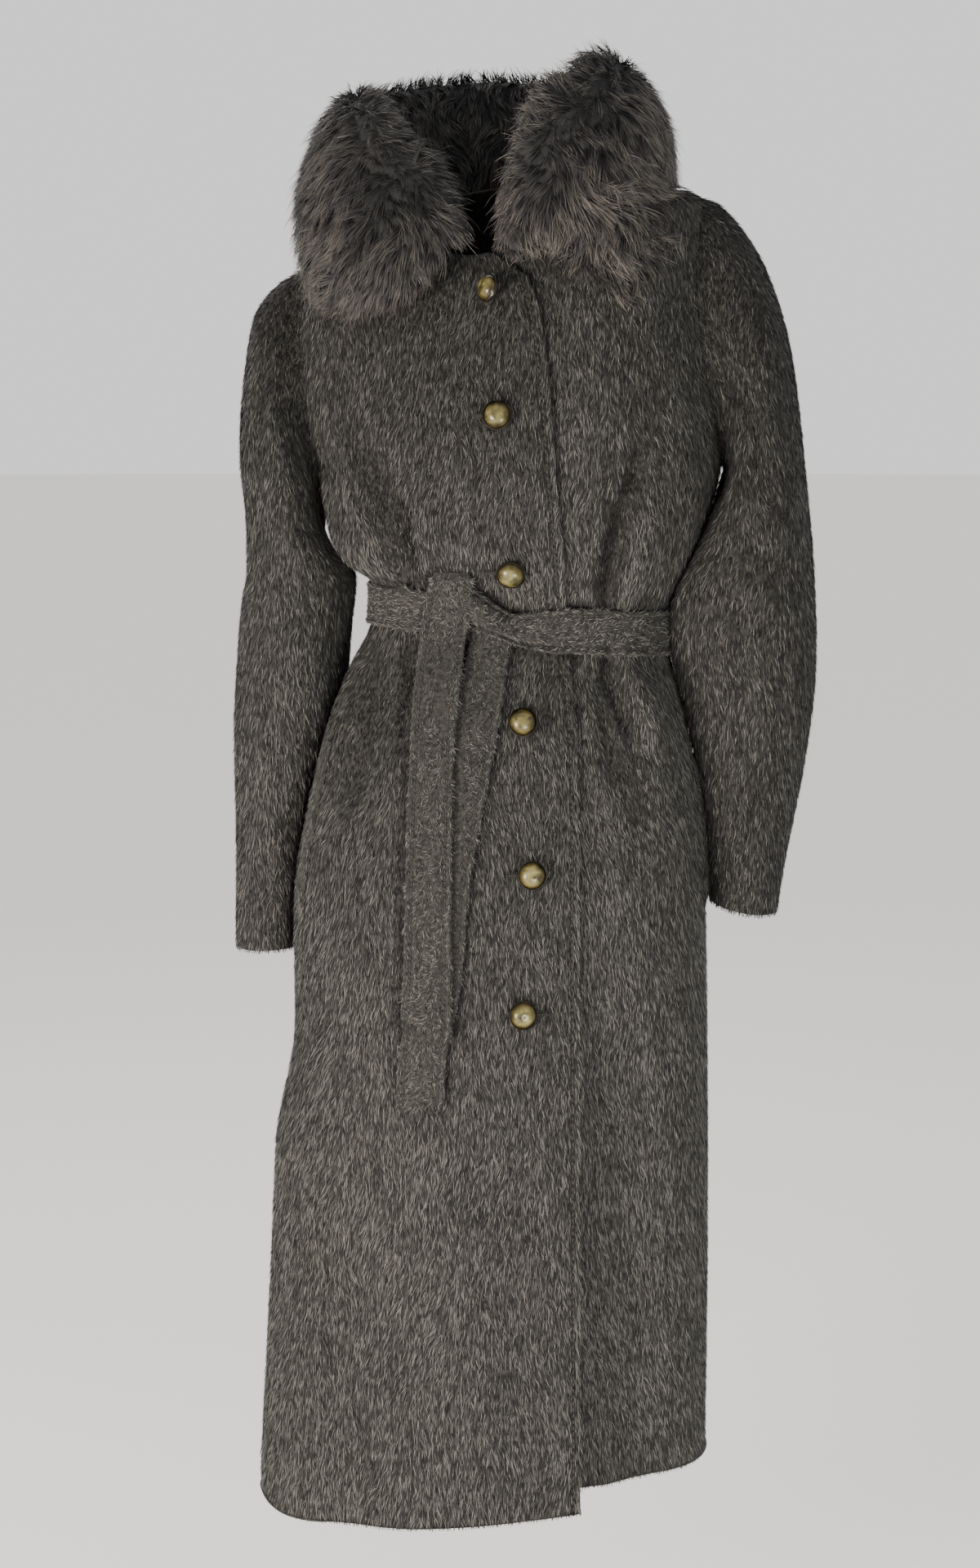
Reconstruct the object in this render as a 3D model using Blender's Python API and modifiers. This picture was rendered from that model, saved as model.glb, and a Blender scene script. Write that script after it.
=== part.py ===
"""A long belted pile-cloth coat with a large fur collar, in the hollow form it has when worn.

Frame: metres, +Z up. The coat faces -Y and the wearer's right side is at -X. The origin is the
middle of the neckline, at the height where the collar seam crosses the shoulder seams.
Tables and sizes below are in millimetres and degrees.
"""

import math
from typing import NamedTuple

import bmesh
import bpy
import numpy as np
from mathutils import Vector
from mathutils.bvhtree import BVHTree

MM = 0.001
WALL = 4.0  # cloth with its pile lying down
SEAM_GAP = 0.4
REST_GAP = 0.4  # a piece that lies on another
SLOPE_STEP = 1e-3  # step for slopes worked out by differences

# ---------------------------------------------------------------- body sections


class BodyRing(NamedTuple):
    """One level ring of the body cloth, its outer side."""

    name: str
    z_side: float
    z_front: float
    z_back: float
    mid_x: float
    mid_y: float
    half_width: float
    front_depth: float
    back_depth: float
    turn: float  # about Z, positive brings the wearer's right side forward
    lean: float  # rise per mm towards +X
    squareness: float
    lap_x: float  # where the edge of the overlapping right front runs


BODY = (
    BodyRing("neck", 0, -56, 10, 0, 0, 74, 86, 62, -8, 0.10, 2.1, 22),
    BodyRing("collar_seat", -8, -78, -10, 2, 2, 104, 98, 84, -10, 0.13, 2.2, 28),
    BodyRing("yoke", -20, -102, -38, 5, 3, 140, 108, 102, -11, 0.155, 2.3, 34),
    BodyRing("shoulder_tip", -36, -128, -75, 9, 3, 175, 116, 114, -12, 0.164, 2.4, 41),
    BodyRing("blade", -105, -165, -125, 13, 2, 178, 124, 120, -11, 0.15, 2.5, 48),
    BodyRing("chest", -175, -205, -182, 20, 0, 177, 130, 120, -10, 0.13, 2.6, 52),
    BodyRing("armpit", -250, -255, -250, 29, -2, 174, 128, 114, -9, 0.12, 2.6, 56),
    BodyRing("ribs", -292, -296, -294, 27, -1, 166, 124, 108, -7, 0.06, 2.5, 61),
    BodyRing("blouse", -325, -326, -326, 25, 2, 151, 117, 101, -6, -0.02, 2.4, 64),
    BodyRing("belt_top", -349, -349, -349, 29, 4, 134, 103, 93, -5, -0.08, 2.3, 67),
    BodyRing("belt_low", -389, -389, -389, 27, 4, 134, 103, 93, -4, -0.09, 2.3, 69),
    BodyRing("flare", -425, -425, -425, 22, 2, 148, 116, 106, -2, -0.07, 2.3, 74),
    BodyRing("hip_top", -475, -475, -475, 17, 0, 163, 127, 120, 3, -0.05, 2.3, 77),
    BodyRing("hip", -545, -545, -545, 14, -2, 178, 136, 132, 6, -0.02, 2.3, 78),
    BodyRing("seat", -620, -620, -620, 9, -3, 185, 143, 142, 8, 0.0, 2.3, 78),
    BodyRing("thigh", -760, -760, -760, 10, -4, 187, 151, 150, 9, 0.0, 2.4, 79),
    BodyRing("knee", -950, -950, -950, 6, -4, 194, 160, 158, 10, 0.02, 2.4, 80),
    BodyRing("hem", -1145, -1145, -1145, -2, -4, 202, 169, 166, 11, 0.04, 2.5, 81),
)
ROW = {ring.name: number for number, ring in enumerate(BODY)}
TIP, ARMPIT, HEM = ROW["shoulder_tip"], ROW["armpit"], ROW["hem"]


class Fold(NamedTuple):
    """A soft ridge (+) or trough (-) in the body cloth, straight between its two ends."""

    name: str
    on_back: bool
    top_x: float
    top_z: float
    low_x: float
    low_z: float
    width: float
    height: float


FOLDS = (
    Fold("blouse_trough_right", False, -108, -212, -76, -332, 13, -13),
    Fold("blouse_roll_right", False, -132, -225, -104, -326, 16, 9),
    Fold("blouse_trough_left", False, 113, -262, 101, -338, 10, -10),
    Fold("blouse_roll_left", False, 140, -268, 128, -336, 16, 5),
    Fold("below_belt_left", False, 99, -404, 112, -500, 11, -10),
    Fold("below_belt_roll_left", False, 128, -406, 140, -520, 15, 6),
    Fold("below_belt_right", False, -94, -408, -130, -530, 18, -7),
    Fold("skirt_flute_left", False, 126, -700, 150, -1200, 34, -15),
    Fold("skirt_corner_right", False, -165, -760, -176, -1200, 38, 20),
    Fold("skirt_flute_right", False, -120, -760, -128, -1200, 30, -6),
    Fold("back_waist_right", True, -70, -230, -56, -334, 13, -9),
    Fold("back_waist_left", True, 118, -236, 106, -336, 13, -10),
    Fold("back_waist_middle", True, 28, -250, 30, -336, 16, 6),
    Fold("back_skirt_right", True, -62, -418, -88, -620, 16, -9),
    Fold("back_skirt_left", True, 102, -418, 122, -640, 16, -9),
    Fold("back_skirt_flute", True, 10, -640, 6, -1200, 36, -9),
)

# ---------------------------------------------------------------- sleeves


class SleeveRing(NamedTuple):
    """One ring of a sleeve: the points furthest from and nearest to the body, and its depth."""

    name: str
    outer_x: float
    outer_z: float
    inner_x: float
    inner_z: float
    mid_y: float
    half_depth: float


RIGHT_SLEEVE = (
    SleeveRing("cap", -184, -73, -146, -277, 33, 70),
    SleeveRing("head", -207, -100, -148, -288, 33, 73),
    SleeveRing("upper", -218, -150, -147, -300, 33, 74),
    SleeveRing("bicep", -224, -222, -138, -316, 33, 73),
    SleeveRing("above_elbow", -219, -298, -121, -336, 33, 71),
    SleeveRing("elbow", -227, -385, -125, -385, 35, 68),
    SleeveRing("forearm", -233, -470, -132, -464, 39, 64),
    SleeveRing("wrist", -233, -575, -150, -568, 43, 57),
    SleeveRing("cuff", -235, -676, -166, -672, 46, 51),
)
LEFT_SLEEVE = (
    SleeveRing("cap", 203, -16, 204, -238, -33, 70),
    SleeveRing("head", 235, -60, 206, -250, -32, 73),
    SleeveRing("upper", 260, -132, 204, -268, -29, 75),
    SleeveRing("bicep", 276, -240, 192, -306, -23, 75),
    SleeveRing("above_elbow", 287, -340, 172, -358, -14, 73),
    SleeveRing("elbow", 290, -424, 170, -428, -6, 70),
    SleeveRing("forearm", 281, -505, 178, -498, -3, 64),
    SleeveRing("wrist", 266, -587, 192, -577, -4, 57),
    SleeveRing("cuff", 259, -634, 198, -626, -6, 52),
)
ARMHOLE_REACH = 16.0  # how far the armhole cuts into the panels, in degrees of turn
ARMHOLE_ROUND = 0.9
ARMHOLE_EVEN = 0.5  # 0 spaces the armhole's points as on a circle, 1 evenly by height
SLEEVE_SEAM = 105.0  # the two seams of a sleeve, from its outermost line
ARM_STEP = 15.0
SLEEVE_ROWS = 20
SLEEVE_RADIUS = 40.0  # the least, where the seams run
SLEEVE_CLEAR = 6.0  # between a sleeve and the body that it hangs beside

# ---------------------------------------------------------------- fur collar


class CollarSection(NamedTuple):
    """A slice of the collar: its upper and lower end, by turn from the front about the neck."""

    turn: float
    top_radius: float
    top_z: float
    low_radius: float
    low_z: float
    thickness: float


COLLAR_RIGHT = (
    CollarSection(9, 116, -34, 120, -50, 14),
    CollarSection(16, 116, 8, 124, -58, 40),
    CollarSection(25, 116, 32, 130, -86, 58),
    CollarSection(38, 116, 50, 140, -104, 68),
    CollarSection(54, 114, 78, 150, -110, 76),
    CollarSection(72, 108, 88, 152, -98, 80),
    CollarSection(92, 104, 90, 146, -56, 82),
    CollarSection(120, 104, 98, 146, -40, 80),
    CollarSection(150, 106, 110, 146, -50, 78),
    CollarSection(180, 106, 116, 146, -66, 78),
)
COLLAR_LEFT = (
    CollarSection(2, 116, -28, 120, -50, 14),
    CollarSection(10, 116, 38, 126, -66, 42),
    CollarSection(19, 116, 84, 130, -60, 58),
    CollarSection(32, 116, 98, 134, -60, 68),
    CollarSection(46, 114, 116, 142, -98, 76),
    CollarSection(64, 110, 118, 138, -80, 80),
    CollarSection(88, 104, 104, 138, -22, 82),
    CollarSection(120, 104, 104, 142, -20, 80),
    CollarSection(150, 106, 112, 146, -40, 78),
    CollarSection(180, 106, 116, 146, -66, 78),
)
COLLAR_STEPS = 18
COLLAR_SIDES = 18
FORM_COLUMNS = 60
FORM_GAP = 0.8  # left free between the cloth and what is cut to lie on it
FORM_DEPTH = 14.0
COLLAR_SQUARENESS = 2.1

# ---------------------------------------------------------------- belt, buttons, pockets

BELT_THICKNESS = 4.5
BELT_GAP = 0.8
BELT_RIGHT_END_X = -17.0  # the wearer's right stretch runs on under the upper tail, to the knot
BELT_LEFT_END_X = 24.2


class TailRow(NamedTuple):
    """The middle of a hanging belt end, and how far it stands off the front."""

    z: float
    x: float
    width: float
    lift: float


TAIL_UPPER = (
    TailRow(-337, -37, 38, 8.0),
    TailRow(-366, -37.5, 41, 10.5),
    TailRow(-398, -41, 40, 10.0),
    TailRow(-436, -45, 39, 7.5),
    TailRow(-480, -49, 39, 6.3),
    TailRow(-560, -53, 40, 6.3),
    TailRow(-640, -54, 42, 6.3),
    TailRow(-707, -55, 44, 6.3),
)
TAIL_UNDER = (
    TailRow(-399, -3, 38, 3.0),
    TailRow(-438, -10, 40, 1.2),
    TailRow(-490, -19, 40, 0.9),
    TailRow(-580, -36, 40, 0.9),
    TailRow(-672, -45, 41, 0.9),
    TailRow(-728, -57, 42, 0.9),
    TailRow(-776, -60, 43, 0.9),
)
TAIL_SLANT = {"belt_tail_upper": 8.0, "belt_tail_under": -6.0}


class ButtonPlace(NamedTuple):
    """Where a button sits on the front, and how far it tips sideways."""

    x: float
    z: float
    tip: float


BUTTONS = (
    ButtonPlace(-2, -88, 22),
    ButtonPlace(7, -191, 0),
    ButtonPlace(18, -322, 0),
    ButtonPlace(27.5, -450, 0),
    ButtonPlace(35, -578, 0),
    ButtonPlace(27.5, -697, 0),
)
BUTTON_RADIUS = 11.8
BUTTON_STANDING = 3.2  # shank below the rim
BUTTON_RIM = 3.4
BUTTON_DOME = 6.2

WELT_WIDTH = 18.0
WELT_THICKNESS = 3.5


class WeltPlace(NamedTuple):
    """A slanted pocket opening, by the turn of its two ends from the front."""

    name: str
    panel: str
    top_turn: float
    top_z: float
    low_turn: float
    low_z: float


WELTS = (
    WeltPlace("welt_right", "front_right", -78, -484, -80, -630),
    WeltPlace("welt_left", "front_left", 78, -484, 80, -630),
)

# ---------------------------------------------------------------- finishes


class Finish(NamedTuple):
    """A plain colour for one kind of piece."""

    name: str
    colour: tuple
    roughness: float
    metallic: float


CLOTH = Finish("alpaca_pile", (0.105, 0.098, 0.086), 0.9, 0.0)
FUR = Finish("collar_fur", (0.074, 0.064, 0.058), 0.95, 0.0)
BUTTON = Finish("button_shell", (0.25, 0.20, 0.08), 0.18, 0.0)

# ---------------------------------------------------------------- smooth tables


def smooth_rows(rows, places):
    """The table's numbers at fractional row numbers, on a smooth curve through its rows."""
    table = np.array([[value for value in row if not isinstance(value, (str, bool))] for row in rows], float)
    places = np.clip(np.asarray(places, float), 0, len(table) - 1)
    first = np.minimum(places.astype(int), len(table) - 2)
    t = (places - first)[..., None]
    before, start = table[np.maximum(first - 1, 0)], table[first]
    end, after = table[first + 1], table[np.minimum(first + 2, len(table) - 1)]
    bend = (2 * before - 5 * start + 4 * end - after) * t + (3 * start - before - 3 * end + after) * t * t
    return start + 0.5 * t * (end - before + bend)


def smooth_step(t):
    """0 before 0, 1 after 1, and an even slope between."""
    t = np.clip(t, 0, 1)
    return t * t * (3 - 2 * t)


def unit(vectors):
    """The vectors at length 1."""
    return vectors / np.linalg.norm(vectors, axis=-1, keepdims=True)


# ---------------------------------------------------------------- the body's surface


def fold_height(x, z, on_front):
    """How far the folds push the cloth out at these places."""
    height = np.zeros_like(x)
    for fold in FOLDS:
        along = np.clip((z - fold.top_z) / (fold.low_z - fold.top_z), -0.5, 1.5)
        across = (x - fold.top_x - (fold.low_x - fold.top_x) * np.clip(along, 0, 1)) / fold.width
        fade = smooth_step((along + 0.12) / 0.3) * smooth_step((1.12 - along) / 0.3)
        side = 1 - on_front if fold.on_back else on_front
        height = height + fold.height * np.exp(-across * across) * fade * side
    return height


def body_point(turn, row):
    """The cloth's outer surface at a turn from the front (radians) and a fractional ring number."""
    turn, row = np.broadcast_arrays(np.asarray(turn, float), np.asarray(row, float))
    ring = np.moveaxis(smooth_rows(BODY, row), -1, 0)
    z_side, z_front, z_back, mid_x, mid_y, half_width, front, back, twist, lean, square, _ = ring
    forward, sideways = np.cos(turn), np.sin(turn)
    depth = np.where(forward > 0, front, back)
    reach = (np.abs(forward / depth) ** square + np.abs(sideways / half_width) ** square) ** (-1 / square)
    drop = np.where(forward > 0, z_front - z_side, z_back - z_side) * forward**2
    z = z_side + drop
    twist = np.radians(twist)
    for pushed in (0.0, 1.0):
        x, y = reach * sideways, -reach * forward
        place_x = mid_x + x * np.cos(twist) - y * np.sin(twist)
        if not pushed:
            on_front = smooth_step(forward * 4 + 0.5)
            reach = reach + fold_height(place_x, z + lean * x, on_front)
    place_y = mid_y + x * np.sin(twist) + y * np.cos(twist)
    return np.stack([place_x, place_y, z + lean * x], -1) * MM


def slope_normal(surface, first, second):
    """Unit normals of surface(first, second), by differences; the two slopes turn outwards."""
    across = surface(first + SLOPE_STEP, second) - surface(first - SLOPE_STEP, second)
    down = surface(first, second + SLOPE_STEP) - surface(first, second - SLOPE_STEP)
    return unit(np.cross(down, across))


def body_normal(turn, row):
    """The outward direction of the body cloth."""
    row = np.clip(row, SLOPE_STEP, HEM - SLOPE_STEP)
    return slope_normal(body_point, np.asarray(turn, float), np.asarray(row, float))


def turn_at_x(place_x, row):
    """The turn at which the front of a ring reaches this x."""
    ring = np.moveaxis(smooth_rows(BODY, row), -1, 0)
    mid_x, front, twist = ring[3], ring[6], np.radians(ring[8])
    local = (place_x - mid_x - front * np.sin(twist)) / np.cos(twist)
    return np.arctan2(local, front)


def row_at_z(z):
    """The ring number whose side height is z; below the armpit that is every point's height."""
    heights = [ring.z_side for ring in BODY]
    return float(np.interp(-z, [-height for height in heights], range(len(heights))))


def armhole_row(angle):
    """The ring number of the armhole's edge; angle 0 is the shoulder tip, 180 the armpit."""
    turned = np.arccos(np.cos(angle))
    share = ARMHOLE_EVEN * turned / math.pi + (1 - ARMHOLE_EVEN) * (1 - np.cos(turned)) / 2
    return TIP + (ARMPIT - TIP) * share


def armhole(side, angle):
    """(turn, row) of the armhole's edge; angle 0 is the shoulder tip, 90 the front, 180 the armpit."""
    angle = np.asarray(angle, float)
    reach = np.radians(ARMHOLE_REACH) * np.sign(np.sin(angle)) * np.abs(np.sin(angle)) ** ARMHOLE_ROUND
    return side * (math.pi / 2 - reach), armhole_row(angle)


# ---------------------------------------------------------------- a sleeve's surface


def sleeve_point(side, angle, row):
    """The sleeve's outer surface; row 0 is the armhole's edge and the last row the cuff."""
    angle, row = np.broadcast_arrays(np.asarray(angle, float), np.asarray(row, float))
    table = RIGHT_SLEEVE if side < 0 else LEFT_SLEEVE
    tip, pit = body_point(*armhole(side, 0.0)) / MM, body_point(*armhole(side, math.pi)) / MM
    start = SleeveRing("armhole", tip[0], tip[2], pit[0], pit[2], (tip[1] + pit[1]) / 2, 70)
    rows = (start,) + table

    def oval(at):
        outer_x, outer_z, inner_x, inner_z, mid_y, depth = np.moveaxis(smooth_rows(rows, at), -1, 0)
        swing = np.cos(angle)
        x = (outer_x + inner_x) / 2 + (outer_x - inner_x) / 2 * swing
        z = (outer_z + inner_z) / 2 + (outer_z - inner_z) / 2 * swing
        return np.stack([x, mid_y - depth * np.sin(angle), z], -1) * MM

    edge = body_point(*armhole(side, angle)) - oval(np.zeros_like(row))
    kept = 1 - smooth_step(row / 3.0)
    return clear_of_body(oval(row) + edge * kept[..., None], side, row)


def clear_of_body(points, side, row):
    """The points moved sideways where they would come nearer to the body than SLEEVE_CLEAR."""
    points = points.copy()
    low = points[..., 2] < (BODY[ARMPIT].z_side - 6) * MM
    if not np.any(low):
        return points
    heights = -points[..., 2] / MM
    rings = np.interp(heights, [-ring.z_side for ring in BODY], range(len(BODY)))
    turns = side * np.radians(np.linspace(35, 145, 23))
    body = body_point(turns, rings[..., None])
    for _ in range(2):
        rings = rings + (body[..., 11, 2] - points[..., 2]) / MM / 60.0
        body = body_point(turns, rings[..., None])
    flat_y, flat_x = body[..., 1].reshape(-1, len(turns)), body[..., 0].reshape(-1, len(turns))
    wanted = points[..., 1].reshape(-1)
    edge = np.array([np.interp(y, ys, xs) for y, ys, xs in zip(wanted, flat_y, flat_x)])
    edge = edge.reshape(points.shape[:-1]) + side * SLEEVE_CLEAR * MM
    inside = low & (side * points[..., 0] < side * edge) & (row > 0.5)
    points[..., 0] = np.where(inside, edge, points[..., 0])
    return points


def sleeve_normal(side, angle, row):
    """The outward direction of the sleeve cloth."""
    last = len(LEFT_SLEEVE)
    row = np.clip(row, SLOPE_STEP, last - SLOPE_STEP)

    def surface(first, second):
        return sleeve_point(side, first, second)

    return -side * slope_normal(surface, np.asarray(angle, float), row)


def armhole_normal(side, angle):
    """The direction that the body and the sleeve share along the armhole's seam."""
    return unit(body_normal(*armhole(side, angle)) + sleeve_normal(side, angle, np.zeros_like(angle)))


# ---------------------------------------------------------------- making objects


def clear_scene():
    """Removes every object that is there."""
    for thing in list(bpy.data.objects):
        bpy.data.objects.remove(thing, do_unlink=True)


def material(finish):
    """The finish's Principled material."""
    made = bpy.data.materials.get(finish.name) or bpy.data.materials.new(finish.name)
    made.use_nodes = True
    shader = made.node_tree.nodes["Principled BSDF"]
    shader.inputs["Base Color"].default_value = (*finish.colour, 1)
    shader.inputs["Roughness"].default_value = finish.roughness
    shader.inputs["Metallic"].default_value = finish.metallic
    made.diffuse_color = (*finish.colour, 1)
    return made


def add_object(name, shape, finish, collection):
    """A smooth-shaded object with this bmesh."""
    mesh = bpy.data.meshes.new(name)
    shape.to_mesh(mesh)
    shape.free()
    mesh.shade_smooth()
    mesh.set_sharp_from_angle(angle=math.radians(50))
    mesh.materials.append(material(finish))
    thing = bpy.data.objects.new(name, mesh)
    collection.objects.link(thing)
    return thing


def sheet_faces(shape, grid, flip):
    """Adds a grid of points and the quads between them."""
    verts = [[shape.verts.new(point) for point in line] for line in grid]
    for upper, lower in zip(verts, verts[1:]):
        for (a, b), (c, d) in zip(zip(upper, upper[1:]), zip(lower, lower[1:])):
            shape.faces.new((a, b, d, c) if flip else (a, c, d, b))
    return verts


def facing_out(shape):
    """The closed shape, turned round if its faces point inwards."""
    if shape.calc_volume(signed=True) < 0:
        bmesh.ops.reverse_faces(shape, faces=shape.faces)
    return shape


def walled(outer, inner):
    """A closed wall between two grids of points, with a rim along all four edges."""
    shape = bmesh.new()
    first = sheet_faces(shape, outer, False)
    second = sheet_faces(shape, inner, True)

    def edge_of(verts):
        top, bottom = verts[0], verts[-1]
        right, left = [line[-1] for line in verts], [line[0] for line in verts]
        return left + bottom[1:] + right[::-1][1:] + top[::-1][1:-1]

    rim, inner_rim = edge_of(first), edge_of(second)
    count = len(rim)
    for i in range(count):
        j = (i + 1) % count
        # Neighbouring pieces split their rims along the same diagonal, upper outside to lower inside.
        if rim[i].co.z > rim[j].co.z:
            shape.faces.new((rim[j], rim[i], inner_rim[j]))
            shape.faces.new((rim[i], inner_rim[i], inner_rim[j]))
        else:
            shape.faces.new((rim[j], rim[i], inner_rim[i]))
            shape.faces.new((rim[j], inner_rim[i], inner_rim[j]))
    return facing_out(shape)


def lofted(sections):
    """A closed solid through rings of points, with flat ends."""
    shape = bmesh.new()
    rings = [[shape.verts.new(point) for point in section] for section in sections]
    for ring, after in zip(rings, rings[1:]):
        for i in range(len(ring)):
            j = (i + 1) % len(ring)
            shape.faces.new((ring[i], ring[j], after[j], after[i]))
    shape.faces.new(rings[0][::-1])
    shape.faces.new(rings[-1])
    return facing_out(shape)


# ---------------------------------------------------------------- body panels


def panel_rows():
    """Ring numbers of a panel's grid, and the angle about the armhole that goes with each."""
    yoke = np.linspace(0, TIP, 5)[:-1]
    swing = np.radians(np.arange(0, 180 + ARM_STEP / 2, ARM_STEP))
    below = np.arange(ARMPIT + 0.5, HEM + 0.25, 0.5)
    rows = np.concatenate([yoke, armhole_row(swing), below])
    return rows, np.concatenate([np.zeros_like(yoke), swing, np.full_like(below, math.pi)])


def panel_end(side, angle, face):
    """The turn at which a front (face 1) or the back (face -1) ends, at the armhole or the seam."""
    reach = np.radians(ARMHOLE_REACH) * np.abs(np.sin(angle)) ** ARMHOLE_ROUND
    return side * (math.pi / 2 - face * reach)


def seam_shift(turn, row, towards):
    """A turn moved by half the seam gap, so that neighbouring pieces stay apart."""
    speed = np.linalg.norm(body_point(turn + SLOPE_STEP, row) - body_point(turn - SLOPE_STEP, row), axis=-1)
    return turn + towards * SEAM_GAP * MM / 2 * 2 * SLOPE_STEP / speed


def lap_turn(rows, extra=0.0):
    """The turn of the overlapping front's edge, or of a line beside it."""
    lap_x = smooth_rows(BODY, rows)[..., -1]
    return turn_at_x(lap_x + extra, rows)


LAP_WIDTH = 84.0  # how far the left front reaches under the right one
LAP_SINK = WALL + 1.2
LAP_RISE = (6.0, 66.0)  # beside the lap's edge the left front rises back to the surface
HEM_SINK = 16.0  # below the last button the left front falls further back
HEM_LIFT = 15.0
FRONT_COLUMNS = 10
BACK_COLUMNS = 16


def front_panel(side):
    """Outer and inner points of one front, from its edge to the side seam and the armhole."""
    rows, angle = panel_rows()
    start = lap_turn(rows) if side < 0 else lap_turn(rows, -LAP_WIDTH)
    end = seam_shift(panel_end(side, angle, 1), rows, -side)
    share = np.linspace(0, 1, FRONT_COLUMNS + 1)
    turns = start[:, None] + (end - start)[:, None] * share
    rows_2d = np.broadcast_to(rows[:, None], turns.shape)
    outer, normal = body_point(turns, rows_2d), body_normal(turns, rows_2d)
    in_armhole = (rows >= TIP) & (rows <= ARMPIT)
    normal[in_armhole, -1] = armhole_normal(side, angle[in_armhole])
    if side > 0:
        beside = (turns - lap_turn(rows)[:, None]) / (end - lap_turn(rows))[:, None]
        width = np.linalg.norm(outer[:, -1] - outer[:, 0], axis=-1)[:, None] / MM
        rise = smooth_step((beside * width - LAP_RISE[0]) / (LAP_RISE[1] - LAP_RISE[0]))
        low = smooth_step((rows - ROW["seat"]) / (HEM - ROW["seat"]))[:, None]
        fall = (1 - smooth_step(beside)) * low
        outer = outer - normal * ((LAP_SINK * (1 - rise) + HEM_SINK * fall) * MM)[..., None]
        outer[..., 2] += HEM_LIFT * MM * fall
    if side < 0:
        outer, normal = outer[:, ::-1], normal[:, ::-1]
    return outer, outer - normal * WALL * MM


def back_panel():
    """Outer and inner points of the back, between both side seams and armholes."""
    rows, angle = panel_rows()
    start = seam_shift(panel_end(1, angle, -1), rows, 1)
    end = seam_shift(panel_end(-1, angle, -1), rows, -1) + 2 * math.pi
    share = np.linspace(0, 1, BACK_COLUMNS + 1)
    turns = start[:, None] + (end - start)[:, None] * share
    rows_2d = np.broadcast_to(rows[:, None], turns.shape)
    outer, normal = body_point(turns, rows_2d), body_normal(turns, rows_2d)
    in_armhole = (rows >= TIP) & (rows <= ARMPIT)
    normal[in_armhole, 0] = armhole_normal(1, -angle[in_armhole])
    normal[in_armhole, -1] = armhole_normal(-1, -angle[in_armhole])
    return outer, outer - normal * WALL * MM


def at_the_belt(outer, inner):
    """A panel's points above and below the belt's middle, where the belt hides the parting."""
    rows, _ = panel_rows()
    row = int(np.argmin(np.abs(rows - belt_rows()[1])))
    half_gap = SEAM_GAP / 2 * MM
    halves = {"upper": [], "lower": []}
    for points in (outer, inner):
        upper, lower = points[: row + 1].copy(), points[row:].copy()
        upper[-1] -= unit(points[row] - points[row - 1]) * half_gap
        lower[0] += unit(points[row + 1] - points[row]) * half_gap
        halves["upper"].append(upper)
        halves["lower"].append(lower)
    return halves


# ---------------------------------------------------------------- sleeve pieces


def sleeve_rows():
    """Fractional row numbers of a sleeve's grid."""
    return len(LEFT_SLEEVE) * np.linspace(0, 1, SLEEVE_ROWS + 1) ** 1.15


def sleeve_piece(side, first, last):
    """Outer and inner points of a sleeve piece between two seams, given in degrees."""
    angles = np.radians(np.arange(first, last + ARM_STEP / 2, ARM_STEP))
    gap = SEAM_GAP / 2 / SLEEVE_RADIUS
    angles[0] += gap
    angles[-1] -= gap
    angle_2d, row_2d = np.meshgrid(angles, sleeve_rows())
    outer = sleeve_point(side, angle_2d, row_2d)
    normal = sleeve_normal(side, angle_2d, row_2d)
    normal[0] = armhole_normal(side, angles)
    outer[0] += unit(outer[1] - outer[0]) * SEAM_GAP * MM
    return outer, outer - normal * WALL * MM


# ---------------------------------------------------------------- collar


def collar_sections(side, table):
    """Rings of the collar's slices; what reaches below the cloth is cut off afterwards."""
    places = np.linspace(0, len(table) - 1, COLLAR_STEPS + 1)
    around = np.linspace(0, 2 * math.pi, COLLAR_SIDES, endpoint=False)
    rings = []
    for turn, top_r, top_z, low_r, low_z, thick in smooth_rows(table, places):
        turn = math.radians(turn)
        axis = np.array([low_r - top_r, low_z - top_z])
        half = np.linalg.norm(axis) / 2
        axis = axis / (2 * half)
        out = np.array([-axis[1], axis[0]])
        swing = (np.abs(np.cos(around)) ** COLLAR_SQUARENESS + np.abs(np.sin(around)) ** COLLAR_SQUARENESS)
        size = swing ** (-1 / COLLAR_SQUARENESS)
        along, across = size * np.cos(around) * half, size * np.sin(around) * thick / 2
        radius = (top_r + low_r) / 2 + axis[0] * along + out[0] * across
        z = (top_z + low_z) / 2 + axis[1] * along + out[1] * across
        points = np.stack([side * radius * np.sin(turn), -radius * np.cos(turn), z], -1) * MM
        points[:, 0] += side * SEAM_GAP * MM / 2
        rings.append(points)
    return rings


def shoulder_form():
    """Rings of what the cloth encloses from the neckline to the armpits, its skin included."""
    rows, _ = panel_rows()
    turns = np.linspace(0, 2 * math.pi, FORM_COLUMNS, endpoint=False)
    rings = []
    for row in rows[rows <= ARMPIT]:
        at = np.full_like(turns, row)
        rings.append(body_point(turns, at) + body_normal(turns, at) * FORM_GAP * MM)
    return rings


def arm_form(side):
    """Rings of what a sleeve's upper half encloses, its skin included."""
    angles = np.radians(np.arange(0, 360, ARM_STEP))
    rings = []
    for row in sleeve_rows()[: SLEEVE_ROWS // 2]:
        at = np.full_like(angles, row)
        rings.append(sleeve_point(side, angles, at) + sleeve_normal(side, angles, at) * FORM_GAP * MM)
    return rings


def panel_form(outer, inner):
    """A closed form a little proud of a panel and deeper than it, to cut what lies on the panel."""
    outward = unit(outer - inner)
    return walled(outer + outward * FORM_GAP * MM, outer - outward * FORM_DEPTH * MM)


def cut(target, cutters):
    """Cuts the cutters from the target with Booleans."""
    for cutter in cutters:
        step = target.modifiers.new("Cut_" + cutter.name, "BOOLEAN")
        step.operation = "DIFFERENCE"
        step.object = cutter


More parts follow.
